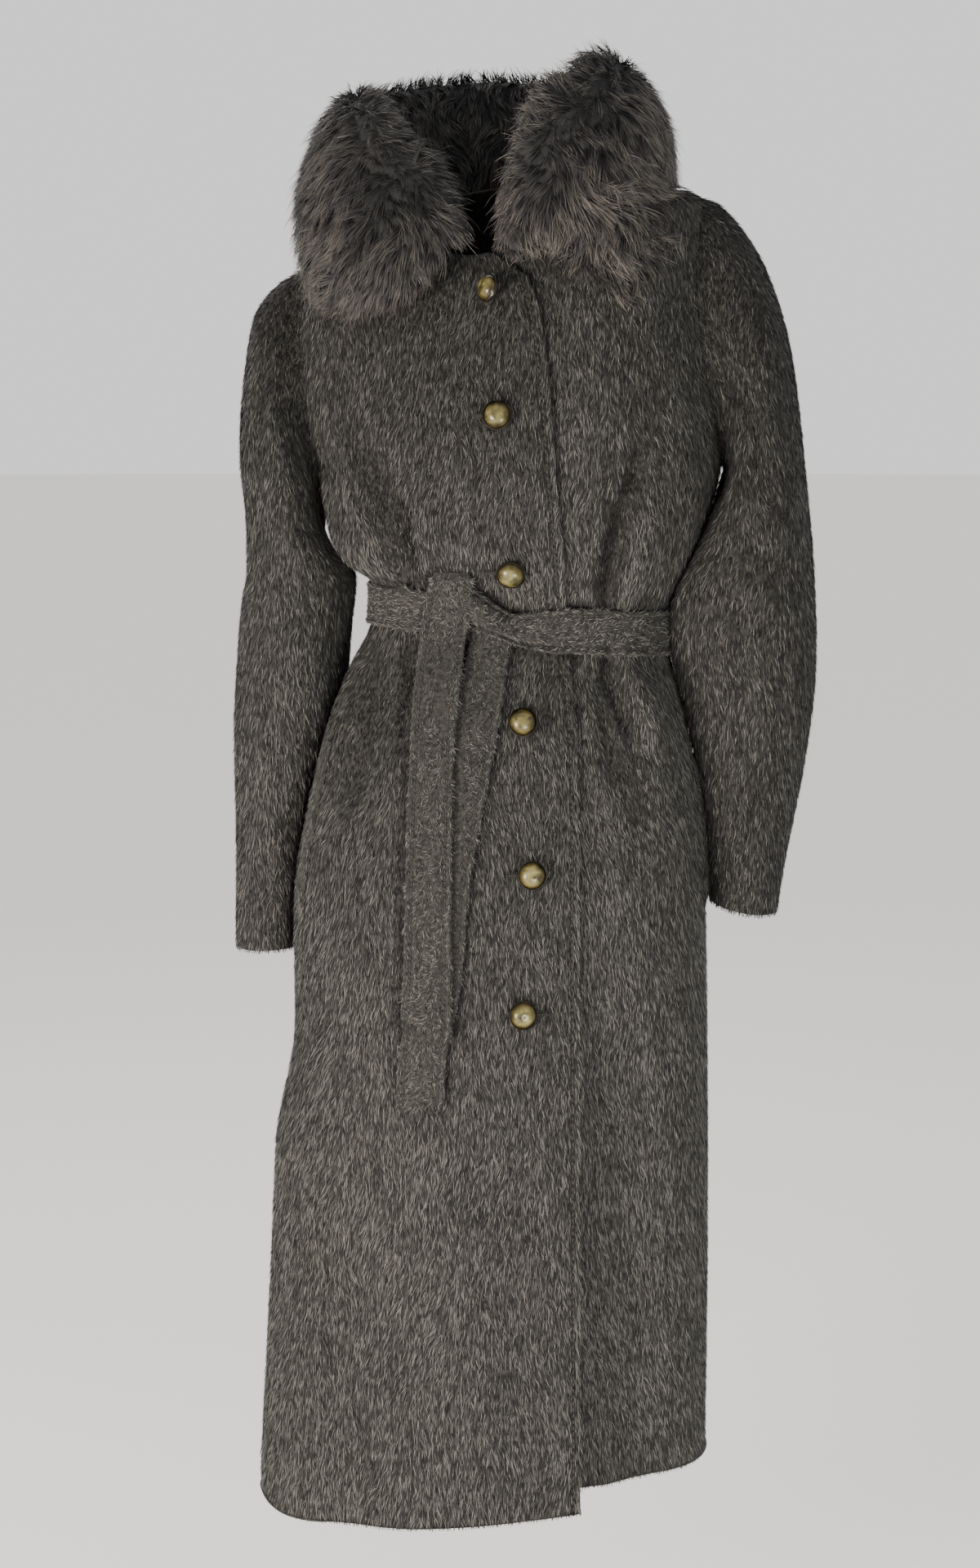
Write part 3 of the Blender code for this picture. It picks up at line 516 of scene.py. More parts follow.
def clear_of_body(points: Array, side: Side, row: Array) -> Array:
    """The points moved sideways where they would come nearer to the body than SLEEVE_CLEAR."""
    points = points.copy()
    low = points[..., 2] < (BODY[ARMPIT].z_side - 6) * MM
    if not np.any(low):
        return points
    rings, turns, middle = row_at_z(points[..., 2] / MM), side.value * SIDE_TURNS, len(SIDE_TURNS) // 2
    body = body_point(turns, rings[..., None])
    for _ in range(2):
        rings = rings + (body[..., middle, 2] - points[..., 2]) / MM / BODY_ROW
        body = body_point(turns, rings[..., None])
    flat_y, flat_x = body[..., 1].reshape(-1, len(turns)), body[..., 0].reshape(-1, len(turns))
    edge = np.array([np.interp(y, ys, xs) for y, ys, xs in zip(points[..., 1].reshape(-1), flat_y, flat_x)])
    edge = edge.reshape(points.shape[:-1]) + side.value * SLEEVE_CLEAR * MM
    inside = low & (side.value * points[..., 0] < side.value * edge) & (row > 0.5)
    points[..., 0] = np.where(inside, edge, points[..., 0])
    return points


def lobe_point(side: Side, table: Sequence[CollarSection], place: Array, around: Array, shrink: float) -> Array:
    """The surface of a collar lobe.

    Args:
        side: which half of the collar.
        table: its slices.
        place: fractional slice number; 0 is the lobe's front end.
        around: 0 is the slice's low end, pi / 2 its outward face.
        shrink: how far inside the lobe's outside, in mm.

    Returns:
        Points in metres.
    """
    place, around = np.broadcast_arrays(np.asarray(place, float), np.asarray(around, float))
    turn, top_r, top_z, low_r, low_z, thick = between(table, place)
    half = np.hypot(low_r - top_r, low_z - top_z) / 2
    axis_r, axis_z = (low_r - top_r) / (2 * half), (low_z - top_z) / (2 * half)
    square = COLLAR_SQUARENESS
    size = (np.abs(np.cos(around)) ** square + np.abs(np.sin(around)) ** square) ** (-1 / square)
    along = size * np.cos(around) * (half - np.minimum(shrink, SHRINK_HEIGHT * half))
    across = size * np.sin(around) * (thick / 2 - np.minimum(shrink, SHRINK_DEPTH * thick))
    radius = (top_r + low_r) / 2 + axis_r * along - axis_z * across
    z = (top_z + low_z) / 2 + axis_z * along + axis_r * across
    turn = np.radians(turn)
    return np.stack([side.value * radius * np.sin(turn), -radius * np.cos(turn), z], -1) * MM


# ---- finishes


class Shade:
    """A material under work: its nodes, and short ways to add to them."""

    def __init__(self, name: str) -> None:
        """Starts a Principled material of this name."""
        self.material = bpy.data.materials.new(name)
        self.material.use_nodes = True
        self.tree = self.material.node_tree
        self.shader = self.tree.nodes["Principled BSDF"]

    def add(self, kind: str, **settings: object) -> bpy.types.Node:
        """Adds a node with these settings."""
        node = self.tree.nodes.new(kind)
        for key, value in settings.items():
            setattr(node, key, value)
        return node

    def link(self, start: Socket, end: Socket) -> None:
        """Joins two sockets."""
        self.tree.links.new(start, end)

    def set(self, **values: float) -> None:
        """Sets plain numbers on the shader's sockets, named with _ for a space."""
        for key, value in values.items():
            self.shader.inputs[key.replace("_", " ")].default_value = value

    def ramp(self, value: Socket, stops: Stops) -> Socket:
        """A colour ramp.

        Args:
            value: what drives it.
            stops: (place, linear colour) pairs.

        Returns:
            The colour socket.
        """
        node = self.add("ShaderNodeValToRGB")
        while len(node.color_ramp.elements) < len(stops):
            node.color_ramp.elements.new(0.5)
        for element, (place, colour) in zip(node.color_ramp.elements, stops):
            element.position, element.color = place, (*colour, 1)
        self.link(value, node.inputs["Fac"])
        return node.outputs["Color"]

    def times(self, first: Socket, second: Socket) -> Socket:
        """The product of two colours."""
        node = self.add("ShaderNodeMix", data_type="RGBA", blend_type="MULTIPLY")
        node.inputs[0].default_value = 1.0
        self.link(first, node.inputs[6])
        self.link(second, node.inputs[7])
        return node.outputs[2]

    def noise(self, scale: float, detail: float, vector: Socket) -> Socket:
        """A noise value on these coordinates."""
        node = self.add("ShaderNodeTexNoise")
        node.inputs["Scale"].default_value = scale
        node.inputs["Detail"].default_value = detail
        self.link(vector, node.inputs["Vector"])
        return node.outputs["Fac"]

    def hair_map(self) -> Sequence[Socket]:
        """The hair map's two values."""
        parts = self.add("ShaderNodeSeparateXYZ")
        self.link(self.add("ShaderNodeUVMap", uv_map=HAIR_MAP).outputs["UV"], parts.inputs[0])
        return parts.outputs[:2]

    def place(self) -> Socket:
        """The piece's own Object coordinates."""
        return self.add("ShaderNodeTexCoord").outputs["Object"]

    def bump(self, height: Socket, distance: float, strength: float) -> None:
        """Bumps the surface by this height."""
        node = self.add("ShaderNodeBump")
        node.inputs["Distance"].default_value = distance
        node.inputs["Strength"].default_value = strength
        self.link(height, node.inputs["Height"])
        self.link(node.outputs["Normal"], self.shader.inputs["Normal"])


@dataclass(frozen=True)
class HairFinish:
    """Hair whose tone and shade come from its own map."""

    name: str
    tones: Stops
    along: Stops
    roughness: float = 0.7
    sheen: float = 0.03
    specular: float = 0.12

    def build(self) -> bpy.types.Material:
        """Makes the material."""
        shade = Shade(self.name)
        tone, run = shade.hair_map()
        colour = shade.times(shade.ramp(tone, self.tones), shade.ramp(run, self.along))
        shade.link(colour, shade.shader.inputs["Base Color"])
        shade.set(Roughness=self.roughness, Sheen_Weight=self.sheen, Sheen_Roughness=0.5)
        shade.set(Specular_IOR_Level=self.specular)
        return shade.material


WAVE_SCALE = 0.314  # of a wave texture with one band a metre


@dataclass(frozen=True)
class WovenFinish:
    """Plain woven cloth, with its threads on the cloth's own map."""

    name: str
    dark: Colour
    light: Colour
    pitch: float = 1.6  # mm from thread to thread

    def build(self) -> bpy.types.Material:
        """Makes the material."""
        shade = Shade(self.name)
        cloth = shade.add("ShaderNodeUVMap", uv_map=CLOTH_MAP).outputs["UV"]
        colour = shade.ramp(shade.noise(260.0, 3.0, shade.place()), ((0.35, self.dark), (0.7, self.light)))
        shade.link(colour, shade.shader.inputs["Base Color"])
        shade.set(Roughness=0.95, Sheen_Weight=0.05, Specular_IOR_Level=0.1)
        threads = []
        for way in ("X", "Y"):
            wave = shade.add("ShaderNodeTexWave", bands_direction=way)
            wave.inputs["Scale"].default_value = WAVE_SCALE / (self.pitch * MM)
            shade.link(cloth, wave.inputs["Vector"])
            threads.append(wave.outputs["Color"])
        shade.bump(shade.times(threads[0], threads[1]), 0.0004, 0.6)
        return shade.material


# painted reflection: the shell's colour darkens towards its rim, standing in for the dark surroundings it
# reflects there
RIM_DARK_REFLECTION: Stops = ((0.4, (1.0, 1.0, 1.0)), (0.68, (0.6, 0.54, 0.42)), (0.88, (0.2, 0.16, 0.1)))


@dataclass(frozen=True)
class ShellFinish:
    """Polished cast shell: clouded colour, with a painted dark reflection towards the rim, under a clear coat.
    """

    name: str
    dark: Colour
    middle: Colour
    light: Colour

    def build(self) -> bpy.types.Material:
        """Makes the material."""
        shade = Shade(self.name)
        place = shade.place()
        warped = shade.add("ShaderNodeVectorMath", operation="MULTIPLY_ADD")
        shift = shade.add("ShaderNodeTexNoise")
        shift.inputs["Scale"].default_value = 60.0
        shade.link(place, shift.inputs["Vector"])
        shade.link(shift.outputs["Color"], warped.inputs[0])
        warped.inputs[1].default_value = (0.016, 0.016, 0.016)
        shade.link(place, warped.inputs[2])
        cloud = shade.noise(110.0, 2.0, warped.outputs[0])
        colour = shade.ramp(cloud, ((0.34, self.dark), (0.48, self.middle), (0.68, self.light)))
        # painted dark reflection towards the rim
        rim_reflection = shade.ramp(shade.hair_map()[0], RIM_DARK_REFLECTION)
        shade.link(shade.times(colour, rim_reflection), shade.shader.inputs["Base Color"])
        shade.set(Roughness=0.3, Coat_Weight=0.3, Coat_Roughness=0.02, Specular_IOR_Level=0.15)
        return shade.material


@dataclass(frozen=True)
class PlainFinish:
    """One even colour, lightly mottled."""

    name: str
    colour: Colour
    roughness: float = 0.8
    mottle: float = 0.75

    def build(self) -> bpy.types.Material:
        """Makes the material."""
        shade = Shade(self.name)
        darker = tuple(value * self.mottle for value in self.colour)
        colour = shade.ramp(shade.noise(900.0, 2.0, shade.place()), ((0.3, darker), (0.7, self.colour)))
        shade.link(colour, shade.shader.inputs["Base Color"])
        shade.set(Roughness=self.roughness)
        return shade.material


PILE = HairFinish(
    "pile",
    (
        (0.0, (0.005, 0.005, 0.005)),
        (0.3, (0.012, 0.012, 0.0117)),
        (0.5, (0.036, 0.0356, 0.0342)),
        (0.7, (0.075, 0.074, 0.07)),
        (1.0, (0.115, 0.113, 0.106)),
    ),
    ((0.0, (0.4, 0.4, 0.4)), (0.45, (0.85, 0.85, 0.85)), (1.0, (1.15, 1.15, 1.15))),
)
FUR = HairFinish(
    "fur",
    (
        (0.0, (0.15, 0.158, 0.18)),
        (0.35, (0.6, 0.595, 0.61)),
        (0.7, (1.0, 0.96, 0.92)),
        (1.0, (1.6, 1.52, 1.42)),
    ),
    (
        (0.0, (0.0042, 0.0045, 0.0058)),
        (0.35, (0.0115, 0.0113, 0.0122)),
        (0.65, (0.033, 0.0312, 0.0295)),
        (1.0, (0.13, 0.119, 0.107)),
    ),
    roughness=0.55,
    sheen=0.05,
    specular=0.25,
)
GROUND = WovenFinish("pile_ground", (0.012, 0.0118, 0.011), (0.03, 0.0292, 0.0268))
BACKING = WovenFinish("woven_back", (0.06, 0.055, 0.048), (0.1, 0.093, 0.082))
SHELL = ShellFinish("button_shell", (0.026, 0.022, 0.008), (0.078, 0.07, 0.024), (0.155, 0.144, 0.064))
SHELL_RIM = ShellFinish("button_rim", (0.008, 0.007, 0.005), (0.02, 0.016, 0.009), (0.045, 0.036, 0.018))
THREAD = PlainFinish("thread", (0.016, 0.015, 0.0135))
SKIN = PlainFinish("fur_skin", (0.008, 0.008, 0.0088), 0.95)
# painted shade: a near-black piece stands for the shade inside each buttonhole's slit
SLIT_SHADE = PlainFinish("buttonhole_dark", (0.008, 0.007, 0.006), 0.95)
PALE = PlainFinish("pale_floor", (0.88, 0.865, 0.84), 0.9, 1.0)


Finish = HairFinish | WovenFinish | ShellFinish | PlainFinish


@dataclass
class Finishes:
    """The coat's finishes, each built once, and what lays them on."""

    made: dict[str, bpy.types.Material] = field(default_factory=dict)

    def get(self, finish: Finish) -> bpy.types.Material:
        """The finish's material."""
        if finish.name not in self.made:
            self.made[finish.name] = finish.build()
        return self.made[finish.name]

    def put(self, piece: Piece, slot: str, *finishes: Finish) -> None:
        """Gives a piece its finishes, and lets it ride on the coat."""
        piece.data.materials.clear()
        for finish in finishes:
            piece.data.materials.append(self.get(finish))
        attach(piece, "root")
        LOG.info("%s: %d faces", piece.name, len(piece.data.polygons))


# ---- working with meshes


def alone() -> None:
    """Leaves nothing selected."""
    if bpy.context.object and bpy.context.object.mode != "OBJECT":
        bpy.ops.object.mode_set(mode="OBJECT")
    bpy.ops.object.select_all(action="DESELECT")


def grid_piece(name: str, points: Array, closed: bool = False) -> Piece:
    """A grid primitive laid on these points.

    Args:
        name: the piece's name.
        points: rows of points; down a column crossed with along a row points outwards.
        closed: True joins the last column to the first and fills both ends.

    Returns:
        The piece, its own map in metres.
    """
    if closed:
        points = np.concatenate([points, points[:, :1]], 1)
    rows, columns = points.shape[:2]
    alone()
    bpy.ops.mesh.primitive_grid_add(x_subdivisions=columns - 1, y_subdivisions=rows - 1, size=1)
    piece = bpy.context.object
    piece.name = piece.data.name = name
    piece.data.vertices.foreach_set("co", points.reshape(-1))
    flat = np.stack([run_along(points, 1), -run_along(points, 0)], -1).reshape(-1, 2)
    corners = np.empty(len(piece.data.loops), int)
    piece.data.loops.foreach_get("vertex_index", corners)
    piece.data.uv_layers[0].name = CLOTH_MAP
    piece.data.uv_layers[CLOTH_MAP].data.foreach_set("uv", flat[corners].reshape(-1))
    bpy.ops.object.mode_set(mode="EDIT")
    bpy.ops.mesh.select_all(action="SELECT")
    bpy.ops.mesh.flip_normals()
    if closed:
        bpy.ops.mesh.remove_doubles(threshold=1e-6)
        bpy.ops.mesh.fill_holes(sides=0)
        bpy.ops.mesh.select_all(action="SELECT")
        bpy.ops.mesh.normals_make_consistent(inside=False)
    bpy.ops.object.mode_set(mode="OBJECT")
    bpy.ops.object.shade_smooth_by_angle(angle=math.radians(50))
    return piece


def apply_step(piece: Piece, kind: str, **settings: object) -> None:
    """Adds a modifier with these settings and applies it."""
    alone()
    bpy.context.view_layer.objects.active = piece
    piece.select_set(True)
    step = piece.modifiers.new(kind.title(), kind)
    for key, value in settings.items():
        setattr(step, key, value)
    bpy.ops.object.modifier_apply(modifier=step.name)


def joined(name: str, verts: Array, faces: Array, corners: Array | None = None) -> Piece:
    """One piece from arrays, for hairs and stitches.

    Args:
        name: the piece's name.
        verts: points in metres.
        faces: vertex numbers, one face a row.
        corners: the hair map's places, one for each corner of each face.

    Returns:
        The piece.
    """
    mesh = bpy.data.meshes.new(name)
    mesh.vertices.add(len(verts))
    mesh.vertices.foreach_set("co", np.ascontiguousarray(verts, np.float32).reshape(-1))
    count, sides = faces.shape
    mesh.loops.add(count * sides)
    mesh.loops.foreach_set("vertex_index", np.ascontiguousarray(faces, np.int32).reshape(-1))
    mesh.polygons.add(count)
    mesh.polygons.foreach_set("loop_start", np.arange(0, count * sides, sides, dtype=np.int32))
    if corners is not None:
        layer = mesh.uv_layers.new(name=HAIR_MAP)
        layer.data.foreach_set("uv", np.ascontiguousarray(corners, np.float32).reshape(-1))
    mesh.update(calc_edges=True)
    piece = bpy.data.objects.new(name, mesh)
    bpy.context.scene.collection.objects.link(piece)
    return piece


def surface_tree(grids: Sequence[Array]) -> BVHTree:
    """A search tree over grids of points, its faces turned outwards."""
    points: list[Vector] = []
    faces: list[tuple[int, ...]] = []
    for grid in grids:
        start, (rows, columns) = len(points), grid.shape[:2]
        points += [Vector(point) for point in grid.reshape(-1, 3)]
        for i in range(rows - 1):
            for j in range(columns - 1):
                a = start + i * columns + j
                faces.append((a, a + columns, a + columns + 1, a + 1))
    return BVHTree.FromPolygons(points, faces)


def front_seat(front: BVHTree, x: float, z: float) -> tuple[Vector, Vector]:
    """The place on the front at this x and z, in mm, and its outward direction."""
    return front.ray_cast(Vector((x * MM, -1.0, z * MM)), Vector((0, 1, 0)))[:2]


class LobeForm:
    """The outside of a collar half, to measure against."""

    def __init__(self, side: Side, table: Sequence[CollarSection]) -> None:
        """Makes the search tree of this half."""
        places, around = np.linspace(0, len(table) - 1, 60), np.linspace(0, 2 * math.pi, 49)
        grid = lobe_point(side, table, places[:, None], around[None, :], 0.0)
        self.tree = surface_tree([grid])
        seat, normal, _, _ = self.tree.find_nearest(Vector(grid[30, :-1].mean(0)))
        self.sign = 1.0 if (Vector(grid[30, :-1].mean(0)) - seat).dot(normal) > 0 else -1.0

    def depth(self, point: Array) -> float:
        """How far inside the outside this point is, in mm; negative when it is out."""
        seat, normal, _, distance = self.tree.find_nearest(Vector(point))
        return math.copysign(distance / MM, self.sign * (Vector(point) - seat).dot(normal))


def grid_area(points: Array) -> Array:
    """The area of each cell of a grid, in square metres."""
    first = points[1:, 1:] - points[:-1, :-1]
    second = points[1:, :-1] - points[:-1, 1:]
    return np.linalg.norm(np.cross(first, second), axis=-1) / 2


def grid_frame(points: Array) -> tuple[Array, Array]:
    """The outward and the downward direction at each point of a grid."""
    down = unit(np.gradient(points, axis=0))
    across = np.gradient(points, axis=1)
    out = unit(np.cross(down, across))
    return out, down


# ---- pile


class Spots(NamedTuple):
    """Places on a grid: their cells, and how far across and down each cell, from 0 to 1."""

    row: Array
    column: Array
    across: Array
    down: Array

    def read(self, grid: Array) -> Array:
        """The grid's values there."""
        a, b = (share.reshape(-1, *[1] * (grid.ndim - 2)) for share in (self.across, self.down))
        i, j = self.row, self.column
        upper = grid[i, j] * (1 - a) + grid[i, j + 1] * a
        lower = grid[i + 1, j] * (1 - a) + grid[i + 1, j + 1] * a
        return upper * (1 - b) + lower * b


def scattered(area: Array, count: int, rng: Random) -> Spots:
    """Spreads spots evenly over a grid.

    Args:
        area: the area of each of its cells.
        count: how many spots.
        rng: what draws them.

    Returns:
        The spots.
    """
    area, columns = area.reshape(-1), area.shape[1]
    steps = (np.arange(count) + rng.random(count)) / count * area.sum()
    cell = np.minimum(np.searchsorted(area.cumsum(), steps), len(area) - 1)
    return Spots(*np.divmod(cell, columns), *rng.random((2, count)))


class Roots(NamedTuple):
    """Where hairs start on a cloth."""

    place: Array
    out: Array
    down: Array
    row: Array  # the cloth's own row number
    edge: Array  # mm from its finished edge
    seam: Array  # mm from its nearest seam
    hem: Array  # mm from its hem
    join: Array  # how near its armhole, 0 to 1


@dataclass
class Cloth:
    """One cut piece of cloth, as a grid of points on its outer form."""

    name: str
    nodes: tuple[str, ...]
    points: Array
    row: Array
    edge: Array
    seam: Array
    hangs: bool = True  # its pile is brushed down, and not along its rows
    out: Array = field(init=False)
    down: Array = field(init=False)
    hem: Array = field(init=False)  # mm to its last row
    join: Array = field(init=False)

    def __post_init__(self) -> None:
        """Works out its directions."""
        self.out, self.down = grid_frame(self.points)
        self.join = near_armhole(self.points)
        self.points = self.points + self.out * (self.join * ARMHOLE_SWELL * MM)[..., None]
        if self.hangs:
            fall = np.array([0.0, 0.0, -1.0]) + 0.35 * self.down
            self.down = unit(fall - (fall * self.out).sum(-1, keepdims=True) * self.out)
        run = run_along(self.points, 0) / MM
        self.hem = run[-1:] - run if self.hangs else np.full_like(run, NO_EDGE)

    def scatter(self, density: float, seed: int) -> Roots:
        """Evenly scattered roots.

        Args:
            density: how many a square metre.
            seed: the seed of the scatter.

        Returns:
            The roots.
        """
        area = grid_area(self.points)
        spots = scattered(area, int(density * area.reshape(-1).sum()), np.random.default_rng(seed))
        lines = (self.row, self.edge, self.seam, self.hem, self.join)
        ways = (unit(spots.read(self.out)), unit(spots.read(self.down)))
        return Roots(spots.read(self.points), *ways, *(spots.read(line) for line in lines))


Cover = Callable[[Roots], Array]


@dataclass
class Pile:
    """The pile of a cloth: joined blades that lie along it. Tones run from 0, dark, to 1."""

    density: float = 295_000  # blades a square metre
    quick_share: float = 0.25
    length: float = 8.0
    lengths: tuple[float, float] = (0.7, 1.25)  # the shortest and the longest, of the length
    base: float = 1.0  # a blade's width at its root
    bases: tuple[float, float] = (0.75, 1.25)
    roll: float = 0.45  # about their own way, in radians
    sink: float = 1.4
    rise: float = 12.0  # degrees off the cloth
    rises: float = 3.0  # and how much it differs, for each blade and each tuft
    strays: float = 0.05  # the share of blades that stand up
    stray_rise: float = 34.0
    stray_rises: float = 6.0
    stray_length: float = 0.75
    stray_base: float = 0.45
    stray_tone: float = 0.12
    swirl: float = 5.0  # degrees by which the pile's way turns
    swirl_size: float = 60.0
    wisp: float = 7.0
    wisp_size: float = 9.0
    wander: float = 9.0  # each blade's own turn, in degrees
    tuft: float = 2.2  # how wide a tuft is; tufts differ in tone, and their low gaps are darker as painted shade
    tuft_length: float = 2.8  # how many times longer than wide
    tone: float = 0.48
    speckle: float = 0.34  # how much each blade's tone differs
    tuft_tone_and_shade: float = 0.07
    patch_tone: float = 0.03
    patch_size: float = 38.0
    high_tone: float = -0.12  # above the waist, where the pile is in shade
    high_from: float = -360.0
    high_run: float = 160.0
    bare: float = 0.95  # how far on each side of the stitch line nothing grows
    stitch_short: float = 0.75  # how much shorter the blades are there
    stitch_width: float = 1.5
    stitch_tone: float = -0.225
    calm_width: float = 4.0  # and how far from it they lie straight
    seam_short: float = 0.3
    seam_width: float = 2.0
    seam_tone: float = -0.075
    edge_width: float = 5.0
    edge_tone: float = 0.27
    fuzz: float = 9.0  # more rise at a finished edge, in degrees
    # Where something presses the pile, its blades are shortened, and darkened as painted shade for the shadow
    # that the belt, its hanging ends, the collar or a fold trough casts there.
    painted_shade_tone: float = -0.38
    pressed_short: float = 0.35

    def grow(
        self, cloth: Cloth, seed: int, covered: Cover | None = None, press_and_shade: Cover | None = None
    ) -> Piece:
        """Grows the pile on a cloth.

        Args:
            cloth: the cloth.
            seed: the seed of its scatter.
            covered: True at roots that something lies on, which stay bare.
            press_and_shade: how much (0 to 1) something beside the roots presses the pile flat and darkens it
                with painted shade.

        Returns:
            The piece.
        """
        roots = cloth.scatter(self.density * (1.0), seed)
        bare = np.abs(roots.edge - STITCH_LINE) < self.bare
        if covered is not None:
            bare = bare | covered(roots)
        roots = Roots(*(values[~bare] for values in roots))
        rng = np.random.default_rng(seed + 1)
        count = len(roots.row)
        stray = rng.random(count) < self.strays
        seam, near_edge = hump(roots.seam, self.seam_width), hump(roots.edge, self.edge_width)
        stitched = hump(roots.edge - STITCH_LINE, self.stitch_width)

        calm = 1 - hump(roots.edge - STITCH_LINE, self.calm_width)
        turn = self.swirl * Ripples(self.swirl_size, seed=7, upright=1.6).at(roots.place)
        turn = (turn + self.wisp * Ripples(self.wisp_size, seed=8, upright=2.2).at(roots.place)) * calm
        turn = np.radians(turn + rng.normal(0, self.wander, count) * (0.3 + 0.7 * calm + 1.6 * roots.join))
        across = np.cross(roots.out, roots.down)
        way = roots.down * np.cos(turn)[:, None] + across * np.sin(turn)[:, None]
        tuft = Ripples(self.tuft, seed=11, upright=self.tuft_length).at(roots.place)
        rise = self.rise + self.rises * tuft + rng.normal(0, self.rises, count)
        rise = np.where(stray, self.stray_rise + rng.normal(0, self.stray_rises, count), rise)
        rise = np.radians(rise + self.fuzz * near_edge)

        length = self.length * rng.uniform(*self.lengths, count) * np.where(stray, self.stray_length, 1.0)
        length = length * (1 - self.seam_short * seam) * (1 - self.stitch_short * stitched)
        length = np.minimum(length, roots.hem + rng.uniform(0.5, 3.0, count))
        roll = rng.normal(0, self.roll, count)[:, None]
        side = np.cross(roots.out, way)
        side = side * np.cos(roll) + roots.out * np.sin(roll)
        half = self.base / 2 * rng.uniform(*self.bases, count) * np.where(stray, self.stray_base, 1.0)
        half = (half * MM)[:, None]
        start = roots.place - roots.out * self.sink * MM
        reach = (way * np.cos(rise)[:, None] + roots.out * np.sin(rise)[:, None]) * (length * MM)[:, None]

        # tufts differ in tone, and the flatter pile in the gaps between them is darker as painted shade
        tone = self.tone + self.tuft_tone_and_shade * tuft + rng.normal(0, self.speckle, count)
        tone = tone + self.patch_tone * Ripples(self.patch_size, seed=12, upright=2.5).at(roots.place)
        tone = tone + self.high_tone * smooth_step((roots.place[:, 2] / MM - self.high_from) / self.high_run)
        # painted shade: pile that something presses is darkened, for the shadow cast beside it
        if press_and_shade is not None:
            down = press_and_shade(roots)
            tone = tone + self.painted_shade_tone * down
            reach = reach * (1 - self.pressed_short * down)[:, None]
        verts = np.stack([start + side * half, start - side * half, start + reach], 1).reshape(-1, 3)
        tone = tone + self.stray_tone * stray + self.edge_tone * near_edge
        tone = np.clip(tone + self.stitch_tone * stitched + self.seam_tone * seam, 0.0, 1.0)
        run = np.tile([0.0, 0.0, 1.0], count)
        corners = np.stack([np.repeat(tone, 3), run], -1)
        return joined(cloth.name + "_pile", verts, np.arange(count * 3).reshape(-1, 3), corners)


def along_grid(points: Array, from_end: bool) -> Array:
    """How far along its row each point of a grid is, in mm, from the row's start or its end."""
    steps = run_along(points, 1) / MM
    return steps[:, -1:] - steps if from_end else steps


def from_sides(points: Array) -> Array:
    """How far each point of a grid is from the nearer end of its row, in mm."""
    return np.minimum(along_grid(points, False), along_grid(points, True))


# ---- body and sleeves


@dataclass
class Tailor:
    """Makes a cut piece of cloth from its form: ground, backing and pile."""

    finishes: Finishes
    sink: float = 1.3  # of the ground, below the form's outside
    wall: float = 2.6
    hem_rise: float = 1.5  # the pile hangs this far below the ground
    stitch_dip: float = 1.0
    stitch_width: float = 1.6

    def make(
        self, cloth: Cloth, pile: Pile, seed: int, covered: Cover | None = None, press_and_shade: Cover | None = None
    ) -> None:
        """Makes one piece of cloth.

        Args:
            cloth: the piece; its last row is its hem.
            pile: its pile.
            seed: the seed of its pile.
            covered: where it stays bare.
            press_and_shade: how much its pile is flattened, and darkened with painted shade.
        """
        dip = self.sink + self.stitch_dip * hump(cloth.edge - STITCH_LINE, self.stitch_width)
        points = cloth.points - cloth.out * (dip * MM)[..., None]
        points[-1] -= cloth.down[-1] * self.hem_rise * MM
        ground = grid_piece(cloth.name, points)
        apply_step(ground, "SOLIDIFY", thickness=self.wall * MM, offset=-1.0, material_offset=1)
        self.finishes.put(ground, CLOTH_SLOT, GROUND, BACKING)
        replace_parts(ground, *cloth.nodes)
        grown = pile.grow(cloth, seed, covered, press_and_shade)
        self.finishes.put(grown, CLOTH_SLOT, PILE)
        grown.name


